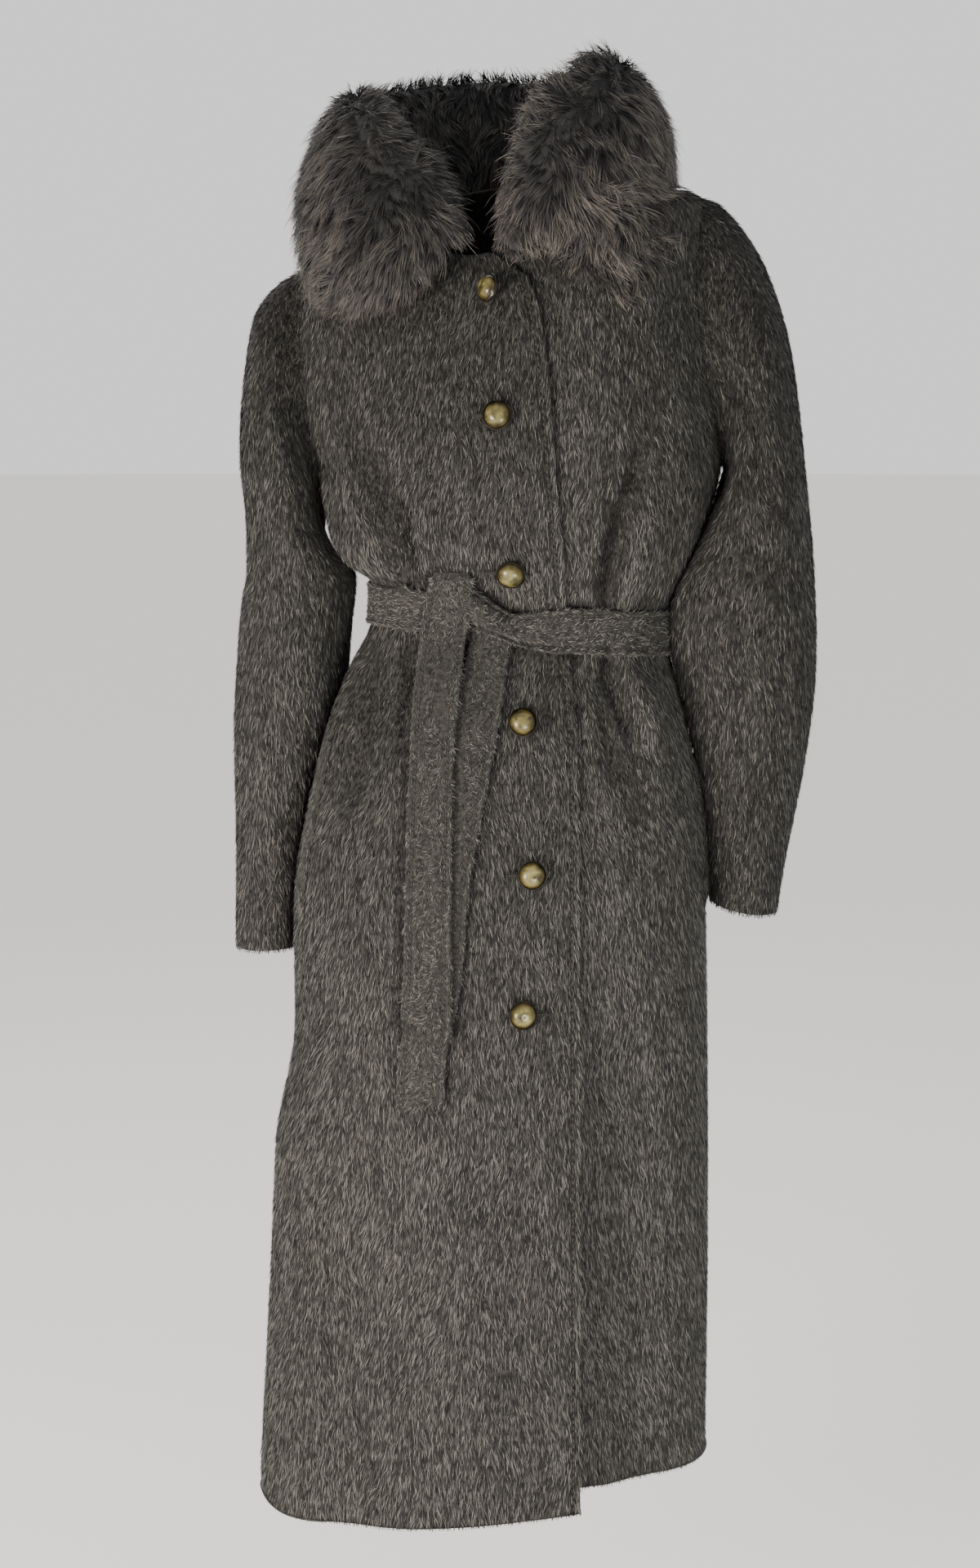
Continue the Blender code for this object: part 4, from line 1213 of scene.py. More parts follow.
@dataclass
class BodyCloth:
    """Both fronts and the back, which meet at the shoulders and the side seams."""

    tailor: Tailor
    pile: Pile = field(default_factory=Pile)
    row_step: float = 9.5
    yoke_rows: int = 9
    armhole_rows: int = 27
    front_columns: int = 54
    back_columns: int = 60
    edge_columns: tuple[float, ...] = (0, 2.5, 5, 7, 9, 12, 17, 24)
    lap_columns: int = 12
    lap_width: float = 84.0
    lap_sink: float = 5.2
    lap_rise: tuple[float, float] = (6.0, 66.0)
    lap_bare: float = 3.0  # mm of pile under the lap
    lap_end: float = HEM - 0.35  # the row from which it grows all over
    left_painted_shading: float = 0.06  # painted light: how much paler the left front's pile is made
    hem_sink: float = 16.0
    hem_lift: float = 15.0
    corner_rows: float = 1.7  # how far the right front's neck corner is cut back
    corner_turn: float = 0.24  # and how far round the neck
    corner_low: float = 6.0  # the row by which the cut has run out
    belt_bare: tuple[float, float] = (0.08, 0.92)  # the rows under the belt, from its top edge
    tail_margin: float = 6.0
    collar_low: float = -0.17  # in metres; no fur lies on the cloth below this
    collar_cover: float = 2.0  # fur this much deeper than a root hides it
    # painted shade: pile just beside the collar's outside is flattened and darkened as the collar's shadow
    collar_press: float = 0.8
    collar_reach: float = 11.0
    collar: list[LobeForm] = field(
        default_factory=lambda: [LobeForm(Side.RIGHT, COLLAR_RIGHT), LobeForm(Side.LEFT, COLLAR_LEFT)]
    )
    grids: dict[str, Array] = field(default_factory=dict)

    def rows(self) -> tuple[Array, Array]:
        """The grid's row numbers, and the angle about the armhole that goes with each."""
        yoke = np.linspace(0, TIP, self.yoke_rows, endpoint=False)
        swing = np.linspace(0, math.pi, self.armhole_rows)
        heights = np.arange(BODY[ARMPIT].z_side - self.row_step, BODY[HEM].z_side, -self.row_step)
        below = np.append(row_at_z(heights), HEM)
        rows = np.concatenate([yoke, armhole_row(swing), below])
        return rows, np.concatenate([np.zeros_like(yoke), swing, np.full_like(below, math.pi)])

    def panel_end(self, side: Side, angle: Array, face: int) -> Array:
        """The turn at which a front (face 1) or the back (face -1) ends."""
        reach = np.radians(ARMHOLE_REACH) * np.abs(np.sin(angle)) ** ARMHOLE_ROUND
        return side.value * (math.pi / 2 - face * reach)

    def front(self, side: Side) -> Cloth:
        """One front.

        Args:
            side: which front; the right one laps over the left one.

        Returns:
            Its cloth.
        """
        rows, angle = self.rows()
        end = self.panel_end(side, angle, 1)
        if side is Side.RIGHT:
            first = np.stack([lap_turn(rows, -beside) for beside in self.edge_columns], 1)
        else:
            beside = np.linspace(-self.lap_width, self.edge_columns[-1], self.lap_columns)
            first = np.stack([lap_turn(rows, width) for width in beside], 1)
        share = np.linspace(0, 1, self.front_columns - first.shape[1] + 1)[1:]
        turns = np.concatenate([first, first[:, -1:] + (end - first[:, -1])[:, None] * share], 1)
        row_2d = np.broadcast_to(rows[:, None], turns.shape).copy()
        if side is Side.RIGHT:
            beside = turns - lap_turn(rows)[:, None]
            drop = self.corner_rows * np.clip(1 + beside / self.corner_turn, 0, 1) ** 1.3
            row_2d = row_2d + drop * np.clip(1 - row_2d / self.corner_low, 0, 1) ** 2
            turns = np.where(drop > 0, lap_turn(row_2d.reshape(-1)).reshape(row_2d.shape) + beside, turns)
            turns, row_2d = turns[:, ::-1], row_2d[:, ::-1]
        points = body_point(turns, row_2d)
        if side is Side.LEFT:
            out, _ = grid_frame(points)
            beside = (turns - lap_turn(rows)[:, None]) / (end - lap_turn(rows))[:, None]
            width = np.linalg.norm(points[:, -1] - points[:, 0], axis=-1)[:, None] / MM
            rise = smooth_step((beside * width - self.lap_rise[0]) / (self.lap_rise[1] - self.lap_rise[0]))
            low = smooth_step((rows - ROW["seat"]) / (HEM - ROW["seat"]))[:, None]
            fall = (1 - smooth_step(beside)) * low
            points = points - out * ((self.lap_sink * (1 - rise) + self.hem_sink * fall) * MM)[..., None]
            points[..., 2] += self.hem_lift * MM * fall
            edge = along_grid(points, False)
        else:
            edge = along_grid(points, True)
        seam = np.where(row_2d < ARMPIT, NO_EDGE, along_grid(points, side is Side.LEFT))
        name = f"front_{side.name.lower()}"
        self.grids[name] = points
        return Cloth(name + "_cloth", (name + "_upper", name + "_lower"), points, row_2d, edge, seam)

    def back(self) -> Cloth:
        """The back."""
        rows, angle = self.rows()
        start = self.panel_end(Side.LEFT, angle, -1)
        end = self.panel_end(Side.RIGHT, angle, -1) + 2 * math.pi
        share = np.linspace(0, 1, self.back_columns)
        turns = start[:, None] + (end - start)[:, None] * share
        row_2d = np.broadcast_to(rows[:, None], turns.shape).copy()
        points = body_point(turns, row_2d)
        seam = np.where(row_2d < ARMPIT, NO_EDGE, from_sides(points))
        self.grids["back"] = points
        nodes = ("back_upper", "back_lower")
        return Cloth("back_cloth", nodes, points, row_2d, np.full_like(seam, NO_EDGE), seam)

    def covered(self, roots: Roots) -> Array:
        """Where the belt, its ends and the overlapping front lie on the body cloth."""
        row = roots.row - ROW["belt_top"] + belt_lift(roots.place[:, 0] / MM) * (roots.place[:, 1] < 0)
        under_belt = (row > self.belt_bare[0]) & (row < self.belt_bare[1])
        under_belt = np.where(beside_wrap(roots.place), wrap_covers(roots.place), under_belt)
        return under_belt | tail_covers(roots.place, self.tail_margin) | self.in_collar(roots.place)

    def in_collar(self, places: Array) -> Array:
        """Whether the collar's fur stands over these places of the cloth."""
        inside = np.zeros(len(places), bool)
        for i in np.flatnonzero(places[:, 2] > self.collar_low):
            inside[i] = any(form.depth(places[i]) > self.collar_cover for form in self.collar)
        return inside

    def press_and_shade(self, roots: Roots) -> Array:
        """How much the belt and the collar press the pile beside them flat, and darken it with painted shade
        for their shadows.
        """
        press_and_shade = beside_belt(roots)
        for i in np.flatnonzero(roots.place[:, 2] > self.collar_low):
            away = -max(form.depth(roots.place[i]) for form in self.collar)
            press_and_shade[i] = max(press_and_shade[i], self.collar_press * hump(max(away, 0.0), self.collar_reach))
        return press_and_shade

    def build(self) -> None:
        """Makes the three panels."""
        right, left, back = self.front(Side.RIGHT), self.front(Side.LEFT), self.back()

        def under_lap(roots: Roots) -> Array:
            """Where the right front or the belt lies on the left one."""
            beside = roots.place[:, 0] / MM - between(BODY, roots.row).lap_x
            return self.covered(roots) | ((beside < -self.lap_bare) & (roots.row < self.lap_end))

        self.tailor.make(right, self.pile, 101, self.covered, self.press_and_shade)
        # painted light: the left front gets a paler copy of the pile
        lit_pile = replace(self.pile, tone=self.pile.tone + self.left_painted_shading)
        self.tailor.make(left, lit_pile, 102, under_lap, self.press_and_shade)
        self.tailor.make(back, self.pile, 103, self.covered, self.press_and_shade)


@dataclass
class SleeveCloth:
    """Both sleeves, each an upper and an under piece."""

    tailor: Tailor
    pile: Pile = field(default_factory=lambda: Pile(tone=0.44))
    rows: int = 62
    step: float = 7.5  # degrees from column to column
    close: float = 1.08  # above 1, the rows are closer together at the armhole
    left_painted_shading: float = -0.13  # how much darker the left sleeve is, in the shade
    grids: list[Array] = field(default_factory=list)

    def piece(self, side: Side, upper: bool) -> Cloth:
        """One sleeve piece between its two seams.

        Args:
            side: which sleeve.
            upper: True for the outer piece.

        Returns:
            Its cloth.
        """
        first, last = (-SLEEVE_SEAM, SLEEVE_SEAM) if upper else (SLEEVE_SEAM, 360 - SLEEVE_SEAM)
        angles = np.radians(np.arange(first, last + self.step / 2, self.step))
        rows = len(LEFT_SLEEVE) * np.linspace(0, 1, self.rows) ** self.close
        angle_2d, row_2d = np.meshgrid(angles, rows)
        points = sleeve_point(side, angle_2d, row_2d)
        if side is Side.LEFT:
            points = points[:, ::-1]
        seam = from_sides(points)
        self.grids.append(points)
        name = f"sleeve_{side.name.lower()}_{'upper' if upper else 'under'}"
        return Cloth(name + "_cloth", (name,), points, row_2d, np.full_like(seam, NO_EDGE), seam)

    def build(self) -> None:
        """Makes the four pieces."""
        # painted shade: the left sleeve gets a darker copy of the pile
        darker = replace(self.pile, tone=self.pile.tone + self.left_painted_shading)
        for side, pile, seed in ((Side.RIGHT, self.pile, 111), (Side.LEFT, darker, 113)):
            for upper in (True, False):
                self.tailor.make(self.piece(side, upper), pile, seed + upper)


# ---- belt


class TailRow(NamedTuple):
    """The middle of a hanging belt end, and how far it stands off the front."""

    z: float
    x: float
    width: float
    lift: float


Tail = Sequence[TailRow]
TAIL_UPPER = rows_of(
    TailRow,
    (-323, -32.2, 31, -2.5),
    (-329, -33.0, 35, 5.5),
    (-338, -34.7, 38.5, 9.5),
    (-350, -36.6, 41, 10.5),
    (-398, -42.5, 40, 10.0),
    (-436, -46.5, 40, 7.5),
    (-480, -49.5, 38.5, 6.3),
    (-560, -52, 40, 6.3),
    (-640, -53, 42, 6.3),
    (-708, -55, 44, 6.3),
)
TAIL_UNDER = rows_of(
    TailRow,
    (-370, 2, 36, 0.9),
    (-392, -1.5, 38, 1.1),
    (-438, -10, 40, 1.2),
    (-490, -19, 40, 0.9),
    (-580, -36, 40, 0.9),
    (-672, -45, 41, 0.9),
    (-728, -57, 42, 0.9),
    (-778, -60, 43, 0.9),
)


KNOT_X = -17.0  # where the wearer's right stretch runs into the knot
LIFT_ROWS, LIFT_RUN = 0.2, 125.0  # how far that stretch is pulled up at the knot, and over how many mm
TAIL_SIDE, TAIL_END = 8.0, 7.0  # how far beside and beyond it a hanging end presses the pile flat and darkens it with painted shadow
TAIL_TOP = 8.0  # how far down an end the pile goes on under its top
# painted shadow: how far the pile beside the folded stretch's edges is flattened and darkened
WRAP_PRESS_AND_SHADE = 5.0
FOLD_PRESS_AND_SHADE = 13.0  # a trough this deep presses the pile flat and darkens it fully with painted shade
PRESS_AND_SHADE_LOW, PRESS_AND_SHADE_RUN = -600.0, 60.0  # and only down to this height


def belt_lift(x: Array) -> Array:
    """How far the wearer's right stretch is pulled up towards the knot, in rows."""
    return LIFT_ROWS * np.clip(1 + (x - KNOT_X) / LIFT_RUN, 0, 1) * (x < KNOT_X)


def off_tail(places: Array, table: Tail) -> Array:
    """How far beside a hanging end places are, in mm; negative on it."""
    x, heights = places[:, 0] / MM, [-row.z for row in table]
    middle, width = (np.interp(-places[:, 2] / MM, heights, [row[k] for row in table]) for k in (1, 2))
    return np.abs(x - middle) - width / 2


def beside_tail(roots: Roots, table: Tail) -> Array:
    """How much a hanging end presses the pile beside it flat and darkens it with painted shadow."""
    off, z = np.maximum(off_tail(roots.place, table), 0), roots.place[:, 2] / MM
    beyond = np.maximum(np.maximum(table[-1].z - z, z - table[0].z), 0)
    return hump(off, TAIL_SIDE) * hump(beyond, TAIL_END)


def beside_upper(roots: Roots) -> Array:
    """How much the upper hanging end presses the pile of the one under it flat and darkens it with painted
    shadow.
    """
    return beside_tail(roots, TAIL_UPPER)


def beside_belt(roots: Roots) -> Array:
    """How much the creases, the hanging ends and the folded stretch press the pile of the front flat, and
    darken it with painted shade in the troughs and painted shadow beside the belt.
    """
    x, z = roots.place[:, 0] / MM, roots.place[:, 2] / MM
    press_and_shade = np.maximum(beside_tail(roots, TAIL_UPPER), 0.5 * beside_tail(roots, TAIL_UNDER))
    table = np.array(WRAP)
    top, low = (np.interp(x, table[:, 0], table[:, k], left=NO_EDGE, right=NO_EDGE) for k in (1, 2))
    off = np.maximum(np.maximum(low - z, z - top), 0)
    press_and_shade = np.maximum(press_and_shade, hump(off, WRAP_PRESS_AND_SHADE)) * (roots.place[:, 1] < 0)
    near_waist = smooth_step((z - PRESS_AND_SHADE_LOW) / PRESS_AND_SHADE_RUN) * (roots.place[:, 1] < 0)
    # painted shade: the deeper a fold's trough near the waist, the flatter and darker its pile
    return np.maximum(press_and_shade, np.clip(-fold_height(x, z, near_waist) / FOLD_PRESS_AND_SHADE, 0, 1) * near_waist)


def tail_covers(places: Array, margin: float) -> Array:
    """Whether one of the hanging ends lies over these places, by more than the margin."""
    covered, z = np.zeros(len(places), bool), places[:, 2] / MM
    for table in (TAIL_UPPER, TAIL_UNDER):
        inside = (z < table[0].z - TAIL_TOP) & (z > table[-1].z + margin + 6) & (places[:, 1] < 0)
        covered |= inside & (off_tail(places, table) < -margin)
    return covered


class WrapSlice(NamedTuple):
    """An upright slice of the wearer's left stretch, where it folds over into the knot."""

    x: float
    top_z: float
    low_z: float
    height: float  # of its face above the front


WRAP = rows_of(
    WrapSlice,
    (-30.0, -328, -376, 8.0),
    (-22.0, -327.5, -376, 14.0),
    (-15.0, -327.7, -376, 17.5),
    (-7.0, -337, -375.7, 18.0),
    (0.7, -346.2, -378, 17.0),
    (9.7, -352.5, -381, 14.5),
    (18.8, -358, -384.5, 12.0),
    (28.0, -358, -387.5, 10.0),
    (37.5, -357, -390.5, 8.5),
    (56.3, -355.8, -394, 6.5),
    (75.4, -355, -396, 5.3),
)
WRAP_ENDS = (48.0, 74.0)  # between these the wrap turns into the plain stretch


def wrap_covers(places: Array) -> Array:
    """Whether the stretch that folds into the knot lies over these places of the front."""
    table = np.array(WRAP)
    x, z = places[:, 0] / MM, places[:, 2] / MM
    top, low = (np.interp(x, table[:, 0], table[:, k]) for k in (1, 2))
    return (z < top - 2.0) & (z > low + 2.0)


def beside_wrap(places: Array) -> Array:
    """Whether these places of the front are where the knot takes the belt off its straight way."""
    x = places[:, 0] / MM
    return (x > WRAP[0].x) & (x < WRAP_ENDS[1]) & (places[:, 1] < 0)


class Dent(NamedTuple):
    """A crease in a band, straight between two places given along it (mm) and across it (-1 to 1)."""

    along: float
    across: float
    end_along: float
    end_across: float
    width: float
    depth: float


Dents = Sequence[Dent]

# Half a band's section: how far across (of half the width) and how high (of the thickness).
BAND_SECTION = (
    (-1.0, 0.3),
    (-0.985, 0.68),
    (-0.94, 0.92),
    (-0.85, 0.98),
    (-0.77, 0.84),
    (-0.7, 0.72),
    (-0.63, 0.84),
    (-0.52, 0.98),
    (-0.26, 1.0),
    (0.0, 1.0),
)
STITCH_PLACE = 5  # the point of the section that its stitches follow
MIDDLE = len(BAND_SECTION) - 1
FACE_END = 2 * MIDDLE  # the last point of its face
UNDERSIDE = ((0.92, 0.0), (0.0, 0.0), (-0.92, 0.0))


@dataclass
class Belt:
    """The tie belt: three stretches, a half-knot and two hanging ends."""

    finishes: Finishes
    front: BVHTree
    thickness: float = 4.5
    gap: float = 0.8
    ground_sink: float = 0.6
    puff: float = 10.0  # a band this much thicker than the belt is round
    puff_drop: float = 0.5
    row_length: float = 5.0
    waist_radius: float = 150.0
    wrap_rows: int = 64
    wrap_width: float = 42.0
    wrap_sewn: int = 14  # the row from which its stitches show
    stitch: float = 3.6
    stitch_pitch: float = 4.8
    tail_row: float = 6.0
    tail_hidden: float = 12.0  # of its cut length, inside the knot
    cut_rows: float = 7.0  # over which its slanted cut begins
    pile: Pile = field(
        default_factory=lambda: Pile(
            density=420_000, length=5.6, speckle=0.42, rise=17.0, swirl=38.0, swirl_size=16.0, wisp=30.0,
            wisp_size=7.0, wander=26.0, sink=1.2, tuft=3.0, tuft_length=1.1, tone=0.5, strays=0.1,
            stray_rise=42.0, fuzz=-8.0,
        )
    )
    right_dents: tuple[Dent, ...] = (
        Dent(0, 0.55, 78, 0.2, 4.5, 1.6),
        Dent(0, -0.1, 60, -0.45, 4.0, 1.4),
        Dent(6, 0.85, 120, 0.75, 4.0, 0.9),
        Dent(4, 0.2, 40, 0.05, 3.0, 1.3),
    )
    left_dents: tuple[Dent, ...] = (
        Dent(9, 0.5, 37, -0.44, 2.0, 3.6),
        Dent(0, 0.95, 26, 0.7, 9.0, 5.0),
        Dent(40, 0.24, 94, -0.27, 1.9, 2.4),
        Dent(30, 0.8, 100, 0.55, 2.4, 1.4),
        Dent(44, -0.5, 80, -0.62, 2.6, 1.2),
        Dent(62, 0.25, 104, 0.12, 3.0, 1.0),
        Dent(50, -0.2, 92, -0.3, 3.0, 0.9),
    )
    upper_dents: tuple[Dent, ...] = (
        Dent(0, -0.3, 70, -0.12, 5.0, 1.4),
        Dent(6, 0.35, 110, 0.2, 5.0, 1.1),
        Dent(210, 0.1, 330, 0.0, 8.0, 0.7),
    )
    under_dents: tuple[Dent, ...] = (
        Dent(0, -0.1, 60, 0.15, 4.5, 1.3),
        Dent(10, 0.5, 90, 0.4, 4.0, 1.0),
        Dent(160, -0.2, 300, 0.1, 9.0, 0.7),
    )

    def section(self) -> Array:
        """The band's section from one edge over the face to the other, then back along its underside."""
        half = np.array(BAND_SECTION)
        return np.concatenate([half, (half * [-1, 1])[::-1][1:], UNDERSIDE])

    def raised(self, section: Array, along: Array, half_width: Array, thick: Array, dents: Dents) -> Array:
        """The height of each point of a band.

        Args:
            section: across and height shares.
            along: each row's distance from the band's start, in mm.
            half_width: each row's half width, in mm.
            thick: each row's thickness, in mm; a thick one is rounder.
            dents: the band's creases.

        Returns:
            Heights above its underside in mm, a row for each place along.
        """
        across = section[:, 0][None, :]
        puff = np.clip((thick - self.thickness) / self.puff, 0, 1)[:, None]
        height = section[:, 1][None, :] * thick[:, None] * (1 - self.puff_drop * puff * across**2)
        for dent in dents:
            share = (along - dent.along) / (dent.end_along - dent.along)
            middle = dent.across + (dent.end_across - dent.across) * np.clip(share, 0, 1)
            off = (across - middle[:, None]) * half_width[:, None]
            crease = dent.depth * hump(off, dent.width) * faded(share, 0.15, 0.3)[:, None]
            height -= crease * (section[:, 1] > 0.5)
        return height

    def lay(
        self, base: Array, out: Array, half_width: Array, thick: Array, dents: Dents
    ) -> tuple[Array, float]:
        """Raises a band off the places that it lies on.

        Args:
            base: rows of those places.
            out: the outward direction at each.
            half_width: each row's half width, in mm.
            thick: each row's thickness, in mm.
            dents: its creases.

        Returns:
            Rows of points around its section, and its length in metres.
        """
        along = run_along(base[:, MIDDLE], 0)
        height = self.raised(self.section(), along / MM, half_width, thick, dents)
        return base + out * ((self.gap + height) * MM)[..., None], float(along[-1])

    def dress(
        self, name: str, nodes: Sequence[str], points: Array, seed: int,
        under: bool = False,
    ) -> None:
        """Makes a band from its rows of section points, and its pile.

        Args:
            name: the piece's name.
            nodes: the nodes it stands for.
            points: rows of points around the section.
            seed: the seed of its pile.
            under: whether the upper hanging end lies on it.
        """
        out, _ = grid_frame(points)
        band = grid_piece(name, points - out * self.ground_sink * MM, closed=True)
        self.finishes.put(band, CLOTH_SLOT, GROUND)
        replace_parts(band, *nodes)
        face = points[:, : FACE_END + 1]
        edge = from_sides(face)
        edge = edge * STITCH_LINE / edge[:, STITCH_PLACE : STITCH_PLACE + 1]
        row = np.zeros_like(edge)
        cloth = Cloth(name, tuple(nodes), face, row, edge, np.full_like(edge, NO_EDGE), hangs=False)
        grown = self.pile.grow(cloth, seed, None, beside_upper if under else None)
        self.finishes.put(grown, CLOTH_SLOT, PILE)
        grown.name

    def stretch(self, name: str, node: str, start: float, end: float, dents: Dents, seed: int) -> None:
        """One stretch round the waist.

        Args:
            name: the piece's name.
            node: the node it stands for.
            start: its first turn, at the knot.
            end: its last turn.
            dents: its creases, measured from the knot.
            seed: the seed of its pile.
        """
        count = int(abs(end - start) * self.waist_radius / self.row_length)
        turns = np.linspace(start, end, count)[:, None]
        row = ROW["belt_top"] + 0.5 + self.section()[:, 0] / 2
        rows = row[None, :] - (belt_lift(body_point(turns, row.mean())[..., 0] / MM) if end < start else 0.0)
        base = body_point(turns, rows)
        step = body_point(turns + SLOPE_STEP, rows) - body_point(turns - SLOPE_STEP, rows)
        fall = body_point(turns, rows + SLOPE_STEP) - body_point(turns, rows - SLOPE_STEP)
        width = np.linalg.norm(base[:, 0] - base[:, FACE_END], axis=-1)
        thick = np.full(count, self.thickness)
        points, length = self.lay(base, unit(np.cross(fall, step)), width / MM / 2, thick, dents)
        if end > start:
            points = np.roll(points[:, ::-1], -len(UNDERSIDE), axis=1)
        self.dress(name, (node,), points, seed)
        self.sew(name, points, False)

    def sew(self, name: str, points: Array, end: bool) -> None:
        """Sews the two long edges of a band, and its end.

        Args:
            name: the band's name.
            points: rows of its section's points.
            end: whether its last row is sewn across as well.
        """
        first, last = STITCH_PLACE, FACE_END - STITCH_PLACE
        paths = [points[:, first], points[:, last]]
        if end:
            paths.append(points[-3, first : last + 1])
        out = np.mean(grid_frame(points)[0][:, MIDDLE], 0)
        lifted = [path + out * 0.2 * MM for path in paths]
        sewn = stitches(name + "_stitches", lifted, out, self.stitch, self.stitch_pitch)
        self.finishes.put(sewn, CLOTH_SLOT, THREAD)

    def tail(self, name: str, table: Tail, slant: float, dents: Dents, seed: int) -> None:
        """One hanging end.

        Args:
            name: the node it stands for.
            table: its rows.
            slant: how far its cut end runs down from one side to the other, in mm.
            dents: its creases, measured from its top.
            seed: the seed of its pile.
        """
        section = self.section()
        length = table[0].z - table[-1].z
        count = int(length / self.tail_row)
        heights = np.linspace(-table[0].z, -table[-1].z, count)
        rows = between(table, np.interp(heights, [-row.z for row in table], range(len(table))))
        thick = np.full(count, self.thickness)
        height = self.raised(section, table[0].z - rows.z, rows.width / 2, thick, dents)
        points = np.empty((count, len(section), 3))
        for i, (z, x, width, lift) in enumerate(zip(*rows)):
            low = -slant * smooth_step((i + 1 - count + self.cut_rows) / self.cut_rows)
            for j, (across, _) in enumerate(section):
                seat, _ = front_seat(self.front, x + across * width / 2, z + low * across)
                points[i, j] = seat + Vector((0, -(lift + height[i, j]) * MM, 0))
        self.dress(name + "_band", (name,), points, seed, table is TAIL_UNDER)
        self.sew(name + "_band", points, True)

    def wrap(self, seed: int) -> None:
        """The wearer's left stretch, which swells and folds over into the knot.

        Args:
            seed: the seed of its pile.
        """
        section, table = self.section(), np.array(WRAP)
        top_row, half = ROW["belt_top"], self.thickness + self.gap
        turns = np.linspace(float(turn_at_x(WRAP[0].x, top_row + 0.5)), math.pi / 2, self.wrap_rows)
        edges = body_point(turns[:, None], np.array([[top_row, top_row + 1.0]]))
        x = edges[:, :, 0].mean(1) / MM
        plain = smooth_step((x - WRAP_ENDS[0]) / (WRAP_ENDS[1] - WRAP_ENDS[0]))
        top, low, face = (np.interp(x, table[:, 0], table[:, k]) for k in (1, 2, 3))
        top = top * (1 - plain) + edges[:, 0, 2] / MM * plain
        low = low * (1 - plain) + edges[:, 1, 2] / MM * plain
        face = face * (1 - plain) + half * plain
        aim = (top + low)[:, None] / 2 - section[:, 0] * (top - low)[:, None] / 2
        turn_2d = np.broadcast_to(turns[:, None], aim.shape)
        row_2d = top_row + (edges[:, 0, 2:3] / MM - aim) / ((edges[:, 0, 2:3] - edges[:, 1, 2:3]) / MM)
        for _ in range(3):
            base = body_point(turn_2d, row_2d)
            slope = (body_point(turn_2d, row_2d + SLOPE_STEP) - base)[..., 2] / MM / SLOPE_STEP
            row_2d = row_2d + (aim - base[..., 2] / MM) / slope
        base = body_point(turn_2d, row_2d)
        step = body_point(turn_2d + SLOPE_STEP, row_2d) - base
        fall = body_point(turn_2d, row_2d + SLOPE_STEP) - base
        out = np.cross(fall, step)
        out[..., 2] *= plain[:, None]
        points, length = self.lay(base, unit(out), (top - low) / 2, face - self.gap, self.left_dents)
        points = np.roll(points[:, ::-1], -len(UNDERSIDE), axis=1)
        self.dress("belt_left_band", ("belt_left", "belt_knot"), points, seed)
        self.sew("belt_left_band", points[self.wrap_sewn :], False)

    def build(self) -> None:
        """Makes every piece of the belt."""
        quarter = math.pi / 2
        right = float(turn_at_x(KNOT_X, ROW["belt_top"] + 0.5))
        self.stretch("belt_right_band", "belt_right", right, -quarter, self.right_dents, 201)
        self.wrap(202)
        self.stretch("belt_back_band", "belt_back", quarter + 0.003, 3 * quarter - 0.003, (), 203)
        self.tail("belt_tail_upper", TAIL_UPPER, 8.0, self.upper_dents, 204)
        self.tail("belt_tail_under", TAIL_UNDER, -6.0, self.under_dents, 205)


def stitches(name: str, paths: Sequence[Array], out: Array, length: float, pitch: float) -> Piece:
    """Even stitches along some paths, joined into one piece.

    Args:
        name: the piece's name.
        paths: rows of points in metres.
        out: the direction that they face.
        length: of one stitch, in mm.
        pitch: from stitch to stitch, in mm.

    Returns:
        The piece.
    """
    alone()
    bpy.ops.mesh.primitive_ico_sphere_add(subdivisions=1, radius=1)
    model = bpy.context.object
    unit_points = np.array([vertex.co[:] for vertex in model.data.vertices])
    unit_faces = np.array([face.vertices[:] for face in model.data.polygons])
    bpy.data.objects.remove(model, do_unlink=True)
    verts, faces = [], []
    for path in paths:
        run = run_along(path, 0)
        for start in np.arange(pitch, run[-1] / MM - pitch, pitch):
            places = (start * MM, (start + length) * MM)
            ends = [np.array([np.interp(place, run, path[:, k]) for k in range(3)]) for place in places]
            along = unit(ends[1] - ends[0])
            side = unit(np.cross(out, along))
            up = np.cross(along, side)
            shape = unit_points * [length / 2 * MM, 0.7 * MM, 0.6 * MM]
            faces.append(unit_faces + len(unit_points) * len(verts))
            verts.append((ends[0] + ends[1]) / 2 + shape @ np.array([along, side, up]))
    return joined(name, np.concatenate(verts), np.concatenate(faces))


# ---- collar


@dataclass
class Lobe:
    """One half of the fur collar."""

    side: Side
    table: Sequence[CollarSection]
    parting: Pairs  # slice numbers and degrees around the slice
    dark_spots: Pairs  # places and degrees of the whorls' middles
    tone: float
    spread: float  # past its outside along the cloth, in mm

    @property
    def name(self) -> str:
        """The lobe's node."""
        return f"collar_{self.side.name.lower()}"


